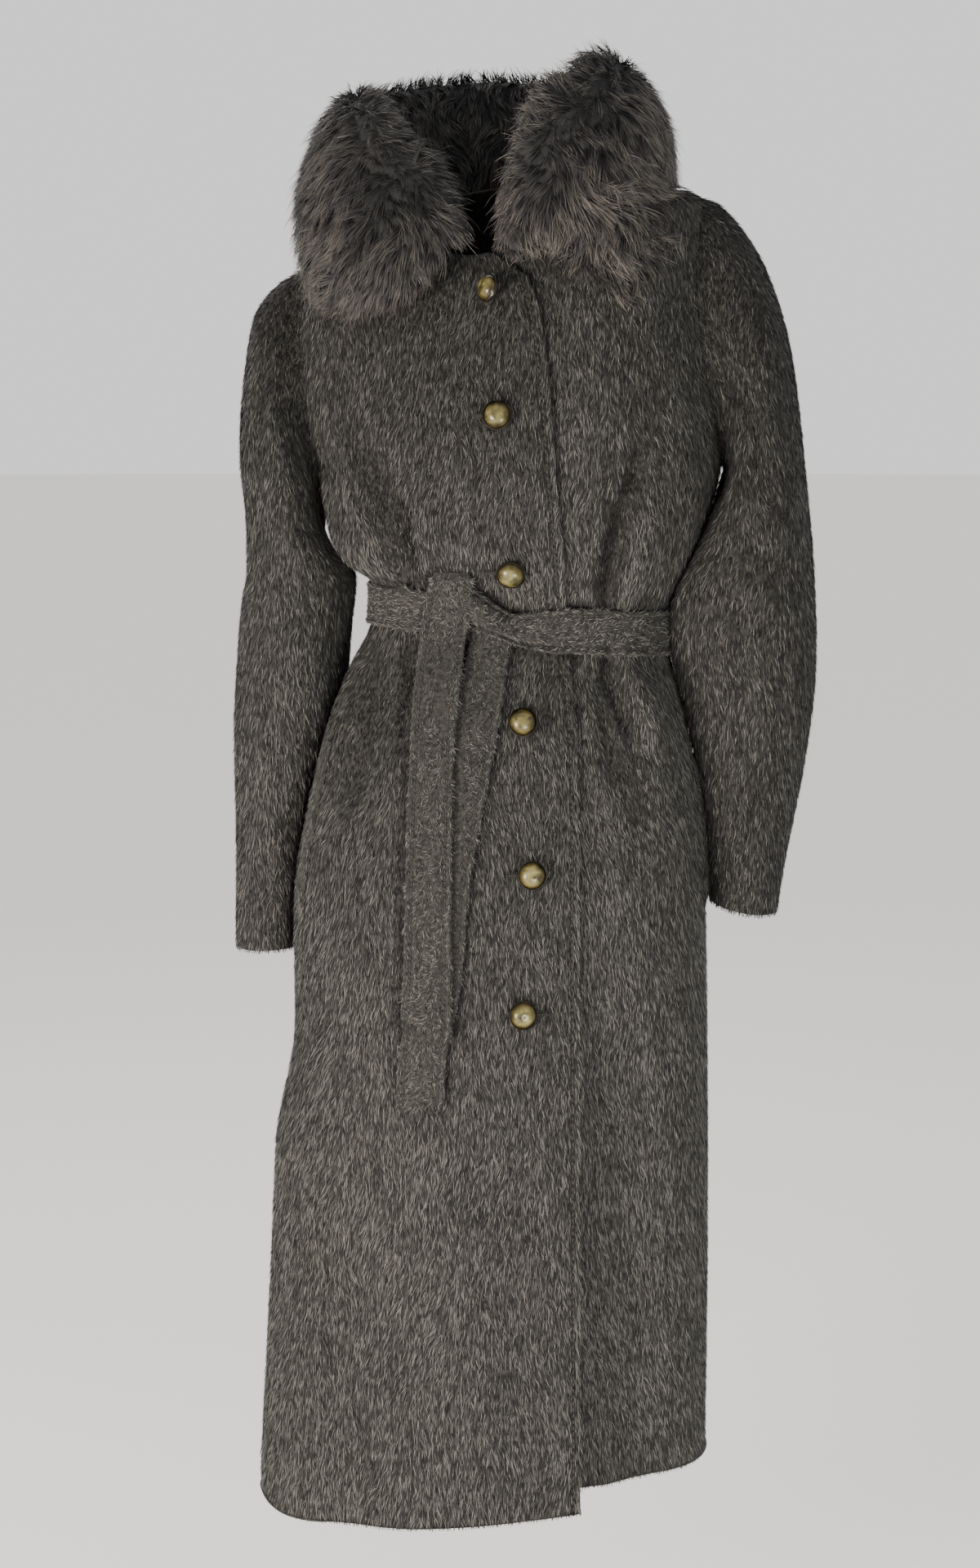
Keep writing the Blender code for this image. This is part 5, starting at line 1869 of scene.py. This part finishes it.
@dataclass
class FurCollar:
    """The fur collar: a skin inside the form of each half, and long hair in locks."""

    finishes: Finishes
    cloth: BVHTree
    shrink: float = 10.0
    locks: int = 3950
    hairs: int = 9
    length: float = 27.0
    lock_radius: float = 3.2
    gather: float = 0.42
    rise: float = 36.0
    width: float = 0.68
    past: float = 3.2  # the half's outside, in mm
    buried: float = 26.0  # roots this deep in the cloth, in mm, move out onto it
    buried_length: float = 0.8
    seated: float = 1.2  # mm above the cloth at which those roots start
    beside: float = 16.0  # roots this near to the cloth have the half's own reach
    upright_width: float = 15.0  # how far from the parting the locks stand up
    upright_rise: float = 26.0
    swing: float = 24.0  # degrees by which neighbouring locks turn together
    swing_size: float = 42.0
    swings: float = 15.0  # and how much each one strays
    rises: float = 9.0
    lengths: tuple[float, float] = (0.72, 1.18)
    inner_short: float = 0.35  # how much shorter the hair is towards the neck
    upright_short: float = 0.25  # and at the parting
    hair_lengths: tuple[float, float] = (0.78, 1.12)
    hair_stray: float = 0.11
    droop: float = 0.62
    tip_clear: float = 2.5
    tip_reach: float = 45.0
    widths: tuple[float, float, float] = (0.5, 0.46, 0.3)  # a hair's half width from its root on
    spot_size: float = 24.0
    spot_tone: float = -0.55
    patch_tone: float = 0.11
    patch_size: float = 30.0
    lock_speckle: float = 0.17
    hair_speckle: float = 0.18
    seat: float = 0.5  # mm of cloth over the forms that cut the skins off
    lobes: tuple[Lobe, ...] = (
        Lobe(
            Side.RIGHT, COLLAR_RIGHT, ((2.4, 116.0), (3.4, 135.0), (5.0, 155.0), (9.0, 150.0)),
            ((2.4, 116.0), (2.9, 112.0)), 0.35, 5.0,
        ),
        Lobe(
            Side.LEFT, COLLAR_LEFT, ((2.05, 95.0), (3.3, 118.0), (5.0, 150.0), (9.0, 150.0)),
            ((2.05, 95.0), (3.2, 116.0)), 0.62, 12.0,
        ),
    )

    def cutters(self) -> list[Piece]:
        """What the cloth of the shoulders and the sleeves encloses."""
        turns = np.linspace(0, 2 * math.pi, 72, endpoint=False)
        rings = body_point(turns[None, :], np.linspace(0, ARMPIT, 24)[:, None])
        out, _ = grid_frame(rings)
        forms = [grid_piece("shoulder_form", rings + out * self.seat * MM, closed=True)]
        for side in Side:
            rings = sleeve_point(side, turns[None, ::3], np.linspace(0, 5, 20)[:, None])
            if side is Side.LEFT:
                rings = rings[:, ::-1]
            out, _ = grid_frame(rings)
            name = f"arm_form_{side.name.lower()}"
            forms.append(grid_piece(name, rings + out * self.seat * MM, closed=True))
        return forms

    def skin(self, lobe: Lobe, forms: Sequence[Piece]) -> Piece:
        """The skin of one half, cut off where it meets the cloth."""
        places = np.linspace(0.3, len(lobe.table) - 1, 34)
        around = np.linspace(0, 2 * math.pi, 36, endpoint=False)
        rings = lobe_point(lobe.side, lobe.table, places[:, None], around[None, :], self.shrink)
        piece = grid_piece(lobe.name + "_skin", rings, closed=True)
        for form in forms:
            apply_step(piece, "BOOLEAN", operation="DIFFERENCE", object=form, solver="EXACT")
        self.finishes.put(piece, FUR_SLOT, SKIN)
        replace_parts(piece, lobe.name)
        return piece

    def lifted(self, points: Array, clear: float, reach: float) -> tuple[Array, Array]:
        """Points moved out of the cloth.

        Args:
            points: points in metres.
            clear: how far above the cloth they end, in mm.
            reach: how deep in the cloth a point may be to be moved, in mm.

        Returns:
            The points, and how far above the cloth each was, in mm.
        """
        moved, height = points.copy(), np.empty(len(points))
        for i, point in enumerate(points):
            seat, normal, _, distance = self.cloth.find_nearest(Vector(point))
            above = (Vector(point) - seat).dot(normal) / MM
            height[i] = math.copysign(distance / MM, above)
            if -reach < height[i] < clear:
                moved[i] = seat + normal * clear * MM
        return moved, height

    def within(self, lobe: Lobe, hairs: Array, low: Array, rng: Random) -> Array:
        """Hairs shortened where their tips would reach too far past the outside of their half.

        Args:
            lobe: the half.
            hairs: the points of each hair, from its root.
            low: whether each hair starts beside the cloth.
            rng: what draws how far each may reach.

        Returns:
            The hairs.
        """
        form = LobeForm(lobe.side, lobe.table)
        deep = np.maximum([form.depth(root) for root in hairs[:, 0]], 0.0)
        past = np.array([-form.depth(tip) for tip in hairs[:, -1]])
        goal = deep - 1.0 + rng.exponential(np.where(low, lobe.spread, self.past))
        scale = np.clip(goal / (deep + np.maximum(past, 0.01)), 0.2, 1.0)
        return hairs[:, :1] + (hairs - hairs[:, :1]) * scale[:, None, None]

    def fur(self, lobe: Lobe, seed: int) -> Piece:
        """The hair of one half: locks that run away from its parting.

        Args:
            lobe: the half.
            seed: the seed of its hair.

        Returns:
            The piece.
        """
        rng = np.random.default_rng(seed)
        places = np.linspace(0.25, len(lobe.table) - 1, 90)
        around = np.linspace(0, 2 * math.pi, 97)
        grid = lobe_point(lobe.side, lobe.table, places[:, None], around[None, :], self.shrink)
        out, _ = grid_frame(grid)
        middle = grid[:, :-1].mean(1, keepdims=True)
        out = out * np.sign(((grid - middle) * out).sum(-1).mean())
        spots = scattered(grid_area(grid), int(self.locks * (1.0)), rng)
        facing = unit(out[spots.row, spots.column])
        root, height = self.lifted(spots.read(grid), self.seated, self.buried)
        kept = height > np.where(root[:, 1] < -0.02, -self.buried, 1.0)
        root, facing, height = root[kept], facing[kept], height[kept]
        low, count = height < self.beside, len(root)

        places, degrees = np.array(lobe.parting).T
        line = np.linspace(places[0], places[-1], 80)
        turns = np.radians(np.interp(line, places, degrees))
        parting = lobe_point(lobe.side, lobe.table, line, turns, self.shrink)
        apart = root[:, None, :] - parting[None, :, :]
        nearest = np.argmin((apart**2).sum(-1), 1)
        away = apart[np.arange(count), nearest]
        from_parting = np.linalg.norm(away, axis=-1) / MM
        flow = away - (away * facing).sum(-1, keepdims=True) * facing
        flow = flow + np.array([0, 0, -0.010])
        flow = unit(flow - (flow * facing).sum(-1, keepdims=True) * facing)
        cross = np.cross(facing, flow)
        swing = self.swing * Ripples(self.swing_size, seed=31).at(root) + rng.normal(0, self.swings, count)
        swing = np.radians(swing)[:, None]
        flow = flow * np.cos(swing) + cross * np.sin(swing)

        upright = hump(from_parting, self.upright_width)
        rise = np.radians(self.rise + self.upright_rise * upright + rng.normal(0, self.rises, count))[:, None]
        to_neck = unit(-root * [1, 1, 0])
        inner = smooth_step((facing * to_neck).sum(-1) * 1.3 + 0.25)
        length = self.length * rng.uniform(*self.lengths, count)
        length = length * np.where(height < self.seated, self.buried_length, 1.0)
        length = length * (1 - self.inner_short * inner) * (1 - self.upright_short * upright)
        length = (length * MM)[:, None]
        start = flow * np.cos(rise) + facing * np.sin(rise)
        droop = flow * 0.35 - facing * 0.42 + np.array([0, 0, -0.16])

        hairs = self.hairs
        share = np.linspace(0, 1, 4)[None, None, :, None]
        angle, spread = rng.uniform(0, 2 * math.pi, (count, hairs)), np.sqrt(rng.random((count, hairs)))
        offset = (np.cos(angle)[..., None] * flow[:, None] + np.sin(angle)[..., None] * cross[:, None])
        offset = offset * (spread * self.lock_radius * MM)[..., None]
        stretch = rng.uniform(*self.hair_lengths, (count, hairs))[..., None, None]
        stray = rng.normal(0, self.hair_stray, (count, hairs, 3))[:, :, None, :]
        curve = (start[:, None, None] + stray) * share + droop[:, None, None] * share**2 * self.droop
        curve = curve * length[:, None, None] * stretch
        points = root[:, None, None] + offset[:, :, None] * (1 - self.gather * share**1.3) + curve
        points = self.within(lobe, points.reshape(-1, 4, 3), np.repeat(low, hairs), rng).reshape(points.shape)
        points = points.reshape(-1, 4, 3)
        tips, _ = self.lifted(points[:, 1:].reshape(-1, 3), self.tip_clear, self.tip_reach)
        points[:, 1:] = tips.reshape(-1, 3, 3)
        total = len(points)
        normal = np.repeat(facing, hairs, 0)[:, None]
        along = unit(np.gradient(points, axis=1))
        side = unit(np.cross(normal, along))
        roll = rng.normal(0, 0.5, (total, 1, 1))
        side = side * np.cos(roll) + np.cross(along, side) * np.sin(roll)
        width = np.array(self.widths)[None, :, None] * self.width * rng.uniform(0.7, 1.3, (total, 1, 1)) * MM
        left, right = points[:, :3] + side[:, :3] * width, points[:, :3] - side[:, :3] * width
        verts = np.concatenate([left, right, points[:, 3:]], 1).reshape(-1, 3)

        tone = lobe.tone + self.patch_tone * Ripples(self.patch_size, seed=32).at(root)
        dark = np.zeros(count)
        for place, degrees in lobe.dark_spots:
            spot = lobe_point(lobe.side, lobe.table, place, math.radians(degrees), self.shrink)
            dark = dark + hump(np.linalg.norm(root - spot, axis=-1) / MM, self.spot_size)
        tone = tone + self.spot_tone * np.clip(dark, 0, 1) + rng.normal(0, self.lock_speckle, count)
        tone = np.clip(np.repeat(tone, hairs) + rng.normal(0, self.hair_speckle, total), 0, 1)
        base = np.arange(total)[:, None] * 7
        quads = base + np.array([[0, 3, 4], [0, 4, 1], [1, 4, 5], [1, 5, 2], [2, 5, 6]]).reshape(1, -1)
        faces = quads.reshape(-1, 3)
        run = np.array([0, 1 / 3, 2 / 3, 0, 1 / 3, 2 / 3, 1.0])
        corners = np.stack([np.repeat(tone, 15), run[(faces % 7).reshape(-1)]], -1)
        piece = joined(lobe.name + "_fur", verts, faces, corners)
        self.finishes.put(piece, FUR_SLOT, FUR)
        return piece

    def build(self) -> None:
        """Makes both halves."""
        forms = self.cutters()
        for number, lobe in enumerate(self.lobes):
            self.skin(lobe, forms)
            self.fur(lobe, 301 + number)
        for form in forms:
            bpy.data.objects.remove(form, do_unlink=True)


# ---- buttons and pockets


class ButtonPlace(NamedTuple):
    """Where a button sits on the front, how far it tips, and to which side its hole shows."""

    x: float
    z: float
    tip: float
    hole_side: int


@dataclass
class Buttons:
    """Six domed shank buttons, each in front of its buttonhole."""

    finishes: Finishes
    front: BVHTree
    radius: float = 12.4
    standing: float = 3.2
    rim: float = 3.4
    dome: float = 6.2
    shank: float = 3.4
    sides: int = 40
    edge_angle: float = 42.0
    dome_steps: tuple[float, ...] = (10, 22, 36, 50, 64, 77)  # degrees up the dome
    pole_inset: float = 0.55  # of the last ring's radius
    seat_gap: float = 0.4
    tipped_gap: float = 0.32  # of its radius, further out
    hole_length: float = 30.0
    hole_half_width: float = 1.5
    hole_shift: float = 0.28  # of its length, away from under the button
    hole_stitch: float = 1.7
    hole_pitch: float = 2.1
    hole_section: Pairs = ((1, 1.4), (0, 2.2), (-1, 1.4), (0, -2))  # across, and mm up
    places: tuple[ButtonPlace, ...] = (
        ButtonPlace(3.5, -88, -39, 0),
        ButtonPlace(7, -191, 0, -1),
        ButtonPlace(18, -322, 0, -1),
        ButtonPlace(27.5, -450, 0, 0),
        ButtonPlace(35, -578, 0, -1),
        ButtonPlace(27.5, -697, 0, 1),
    )

    def profile(self) -> list[tuple[float, float]]:
        """The turned outline as (radius, height) pairs, from the shank up to near the pole."""
        radius, low, top = self.radius, self.standing, self.standing + self.rim
        outline = [(self.shank, low), (radius - 1.4, low), (radius, low + 1.0), (radius, top - 0.7)]
        outline += [(radius - 0.7, top), (radius - 1.5, top - 0.6)]
        for angle in map(math.radians, self.dome_steps):
            up = (self.dome + 0.6) * math.sin(angle)
            outline.append(((radius - 1.7) * math.cos(angle), top - 0.6 + up))
        return outline

    def one(self, number: int, place: ButtonPlace) -> Piece:
        """One button, turned up from a circle and seated on the front.

        Args:
            number: its number from the top.
            place: where it sits.

        Returns:
            The button.
        """
        alone()
        bpy.ops.mesh.primitive_circle_add(vertices=self.sides, radius=self.shank * MM, fill_type="NGON")
        button = bpy.context.object
        button.name = button.data.name = f"button_{number}_shell"
        bpy.ops.object.mode_set(mode="EDIT")
        bpy.ops.mesh.select_all(action="SELECT")
        bpy.ops.mesh.flip_normals()
        radius, height = self.shank, 0.0
        for next_radius, next_height in self.profile():
            move = {"value": (0, 0, (next_height - height) * MM)}
            bpy.ops.mesh.extrude_region_move(TRANSFORM_OT_translate=move)
            scale = next_radius / radius
            bpy.ops.transform.resize(value=(scale, scale, 1), center_override=(0, 0, next_height * MM))
            radius, height = next_radius, next_height
        bpy.ops.mesh.inset(thickness=radius * self.pole_inset * MM, depth=0.0002)
        bpy.ops.mesh.select_all(action="SELECT")
        bpy.ops.mesh.normals_make_consistent(inside=False)
        bpy.ops.object.mode_set(mode="OBJECT")
        bpy.ops.object.shade_smooth_by_angle(angle=math.radians(self.edge_angle))
        self.finishes.put(button, BUTTON_SLOT, SHELL, SHELL_RIM)
        rim_top = self.standing + self.rim
        button.data.uv_layers[0].name = HAIR_MAP
        layer = button.data.uv_layers[HAIR_MAP].data
        for corner in button.data.loops:
            x, y, _ = button.data.vertices[corner.vertex_index].co
            off = math.hypot(x, y) / self.radius / MM
            layer[corner.index].uv = (off, 0.5 + math.atan2(y, x) / (2 * math.pi))
        for face in button.data.polygons:
            off = math.hypot(face.center.x, face.center.y) / MM
            face.material_index = int(off > self.radius - 1.2 or face.center.z / MM < rim_top - 1.0)
        seat, normal = front_seat(self.front, place.x, place.z)
        tip = math.radians(place.tip)
        tipped = Vector((math.sin(tip), 0, math.cos(tip)))
        button.rotation_mode = "QUATERNION"
        button.rotation_quaternion = normal.to_track_quat("Z", "Y") @ tipped.to_track_quat("Z", "Y")
        button.location = seat + normal * (self.seat_gap + (self.radius * self.tipped_gap if tip else 0)) * MM
        bpy.ops.object.transform_apply(location=True, rotation=True, scale=True)
        return button

    def hole(self, number: int, place: ButtonPlace) -> None:
        """A sewn buttonhole that shows beside its button, its slit a near-black piece of painted shade.

        Args:
            number: the button's number.
            place: where it sits.
        """
        middle_x = place.x + place.hole_side * self.hole_length * self.hole_shift
        half = self.hole_length / 2
        places = np.linspace(middle_x - half, middle_x + half, 16)
        seats = [front_seat(self.front, x, place.z) for x in places]
        widths = self.hole_half_width * np.sqrt(np.clip(1 - ((places - middle_x) / half) ** 2, 0, 1))

        def beside(side: float, width: float, up: float) -> Array:
            """The line of points this far above the slit's middle and off the cloth, in mm."""
            rows = zip(seats, widths + width)
            lifts = [(seat, Vector((0, 0, side * high)) + normal * up) for (seat, normal), high in rows]
            return np.array([seat + lift * MM for seat, lift in lifts])

        rings = np.stack([beside(side, 0.0, up) for side, up in self.hole_section], 1)
        slit = grid_piece(f"buttonhole_{number}", rings, closed=True)
        # painted shade: the slit's near-black piece
        self.finishes.put(slit, CLOTH_SLOT, SLIT_SHADE)
        out = np.array(seats[len(seats) // 2][1])
        for word, side in (("upper", 1), ("lower", -1)):
            path = [beside(side, 0.7, 0.5)]
            sewn = stitches(f"buttonhole_{number}_{word}", path, out, self.hole_stitch, self.hole_pitch)
            self.finishes.put(sewn, CLOTH_SLOT, THREAD)

    def build(self) -> None:
        """Makes the buttons and their holes."""
        for number, place in enumerate(self.places, 1):
            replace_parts(self.one(number, place), f"button_{number}")
            if place.hole_side:
                self.hole(number, place)


class WeltPlace(NamedTuple):
    """A slanted pocket opening, by the turns and heights of its ends."""

    name: str
    top_turn: float
    top_z: float
    low_turn: float
    low_z: float


@dataclass
class Pockets:
    """The two pocket openings in the side seams, each with a raised edge."""

    finishes: Finishes
    width: float = 18.0
    thickness: float = 3.5
    gap: float = 0.8
    places: tuple[WeltPlace, ...] = (
        WeltPlace("welt_right", -78, -484, -80, -630),
        WeltPlace("welt_left", 78, -484, 80, -630),
    )
    hip_radius: float = 165.0
    sunk: float = 1.5  # how far its underside is in the cloth
    taper: float = 12.0  # its ends run out over 1/12 of its length
    swell: float = 0.35  # of the bar near its low end
    swell_at: float = 0.9
    swell_length: float = 0.06
    overrun: float = 4.0  # mm of its cut length past its ends
    pile: Pile = field(default_factory=lambda: Pile(rise=14.0, tone=0.52, sink=1.0))

    def build(self) -> None:
        """Makes both welts."""
        for number, place in enumerate(self.places):
            share = np.linspace(0, 1, 26)[:, None]
            rows = np.interp(share, [0, 1], [row_at_z(place.top_z), row_at_z(place.low_z)])
            turns = np.radians(place.top_turn + (place.low_turn - place.top_turn) * share)
            across = np.linspace(-1, 1, 13)
            base = body_point(turns + across * (self.width / 2 / self.hip_radius), rows)
            out, _ = grid_frame(base)
            taper = smooth_step(share * self.taper) * smooth_step((1 - share) * self.taper)
            swell = 1 + self.swell * hump(share - self.swell_at, self.swell_length)
            high = (self.gap + self.thickness * swell) * np.sqrt(np.clip(1 - across**2, 0, 1)) * taper
            face = base + out * (high * MM)[..., None]
            under = (base - out * self.sunk * MM)[:, [10, 6, 2]]
            ridge = grid_piece(place.name + "_ridge", np.concatenate([face, under], 1), closed=True)
            self.finishes.put(ridge, CLOTH_SLOT, GROUND)
            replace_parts(ridge, place.name)
            none = np.full(face.shape[:2], NO_EDGE)
            grown = self.pile.grow(Cloth(place.name, (place.name,), face, none * 0, none, none), 401 + number)
            self.finishes.put(grown, CLOTH_SLOT, PILE)
            grown.name


# ---- studio


@dataclass
class Lamp:
    """A square soft light, aimed at a point."""

    name: str
    place: tuple[float, float, float]
    aim: tuple[float, float, float]
    size: float
    power: float
    colour: Colour

    def build(self) -> None:
        """Adds the light."""
        alone()
        bpy.ops.object.light_add(type="AREA", location=self.place)
        lamp = bpy.context.object
        lamp.name = self.name
        lamp.data.size, lamp.data.energy, lamp.data.color = self.size, self.power, self.colour
        lamp.rotation_euler = (Vector(self.aim) - Vector(self.place)).to_track_quat("-Z", "Y").to_euler()


@dataclass
class Studio:
    """Camera, soft light and a pale floor."""

    finishes: Finishes
    camera_place: tuple[float, float, float] = (0.0, -2.4, -0.17)
    camera_pitch: float = -8.3
    lens: float = 61.95
    floor_z: float = -1.45
    floor_radius: float = 40.0
    sky: tuple[float, float, float] = (0.797, 0.793, 0.79)
    sky_strength: float = 1.38
    lamps: tuple[Lamp, ...] = (
        Lamp("key", (1.4, -2.2, 1.5), (0.0, 0.0, -0.2), 0.2, 5.5, (1.0, 1.0, 1.0)),
        Lamp("low_left", (-1.6, -1.8, -0.7), (-0.05, 0.0, -1.0), 1.0, 138.0, (1.0, 0.9, 0.79)),
        Lamp("low_front", (0.7, -1.8, -1.25), (0.08, 0.0, -1.1), 0.8, 54.0, (1.0, 0.94, 0.85)),
        Lamp("back_top", (-0.8, 2.2, 1.4), (0.0, 0.0, -0.3), 1.6, 24.0, (1.0, 0.98, 0.95)),
    )

    def build(self) -> None:
        """Sets up the studio."""
        alone()
        bpy.ops.mesh.primitive_circle_add(vertices=64, radius=self.floor_radius, fill_type="NGON")
        floor = bpy.context.object
        floor.name = "floor"
        floor.location.z = self.floor_z
        floor.data.materials.append(self.finishes.get(PALE))
        for lamp in self.lamps:
            lamp.build()
        world = bpy.data.worlds.new("sky")
        world.use_nodes = True
        background = world.node_tree.nodes["Background"]
        background.inputs["Color"].default_value = (*self.sky, 1)
        background.inputs["Strength"].default_value = self.sky_strength
        bpy.context.scene.world = world
        alone()
        pitch = math.radians(90 + self.camera_pitch)
        bpy.ops.object.camera_add(location=self.camera_place, rotation=(pitch, 0, 0))
        camera = bpy.context.object
        camera.data.sensor_fit = "VERTICAL"
        camera.data.sensor_height, camera.data.lens = 36.0, self.lens
        bpy.context.scene.camera = camera


# ---- the coat


def main() -> None:
    """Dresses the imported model."""
    logging.basicConfig(level=logging.INFO, format="%(name)s: %(message)s")
    finishes = Finishes()
    tailor = Tailor(finishes)
    body, sleeves = BodyCloth(tailor), SleeveCloth(tailor)
    body.build()
    sleeves.build()
    front = surface_tree(list(body.grids.values()))
    rows = np.linspace(0, HEM, 220)
    seam = body_point(lap_turn(rows, -STITCH_LINE), rows) + np.array([0, 0.1 * MM, 0])
    sewn = stitches("front_edge_stitches", [seam], np.array([0.0, -1.0, 0.0]), *FRONT_STITCH)
    finishes.put(sewn, CLOTH_SLOT, THREAD)
    Belt(finishes, front).build()
    Buttons(finishes, front).build()
    Pockets(finishes).build()
    FurCollar(finishes, surface_tree(list(body.grids.values()) + sleeves.grids)).build()
    Studio(finishes).build()


if __name__ == "__main__":
    main()
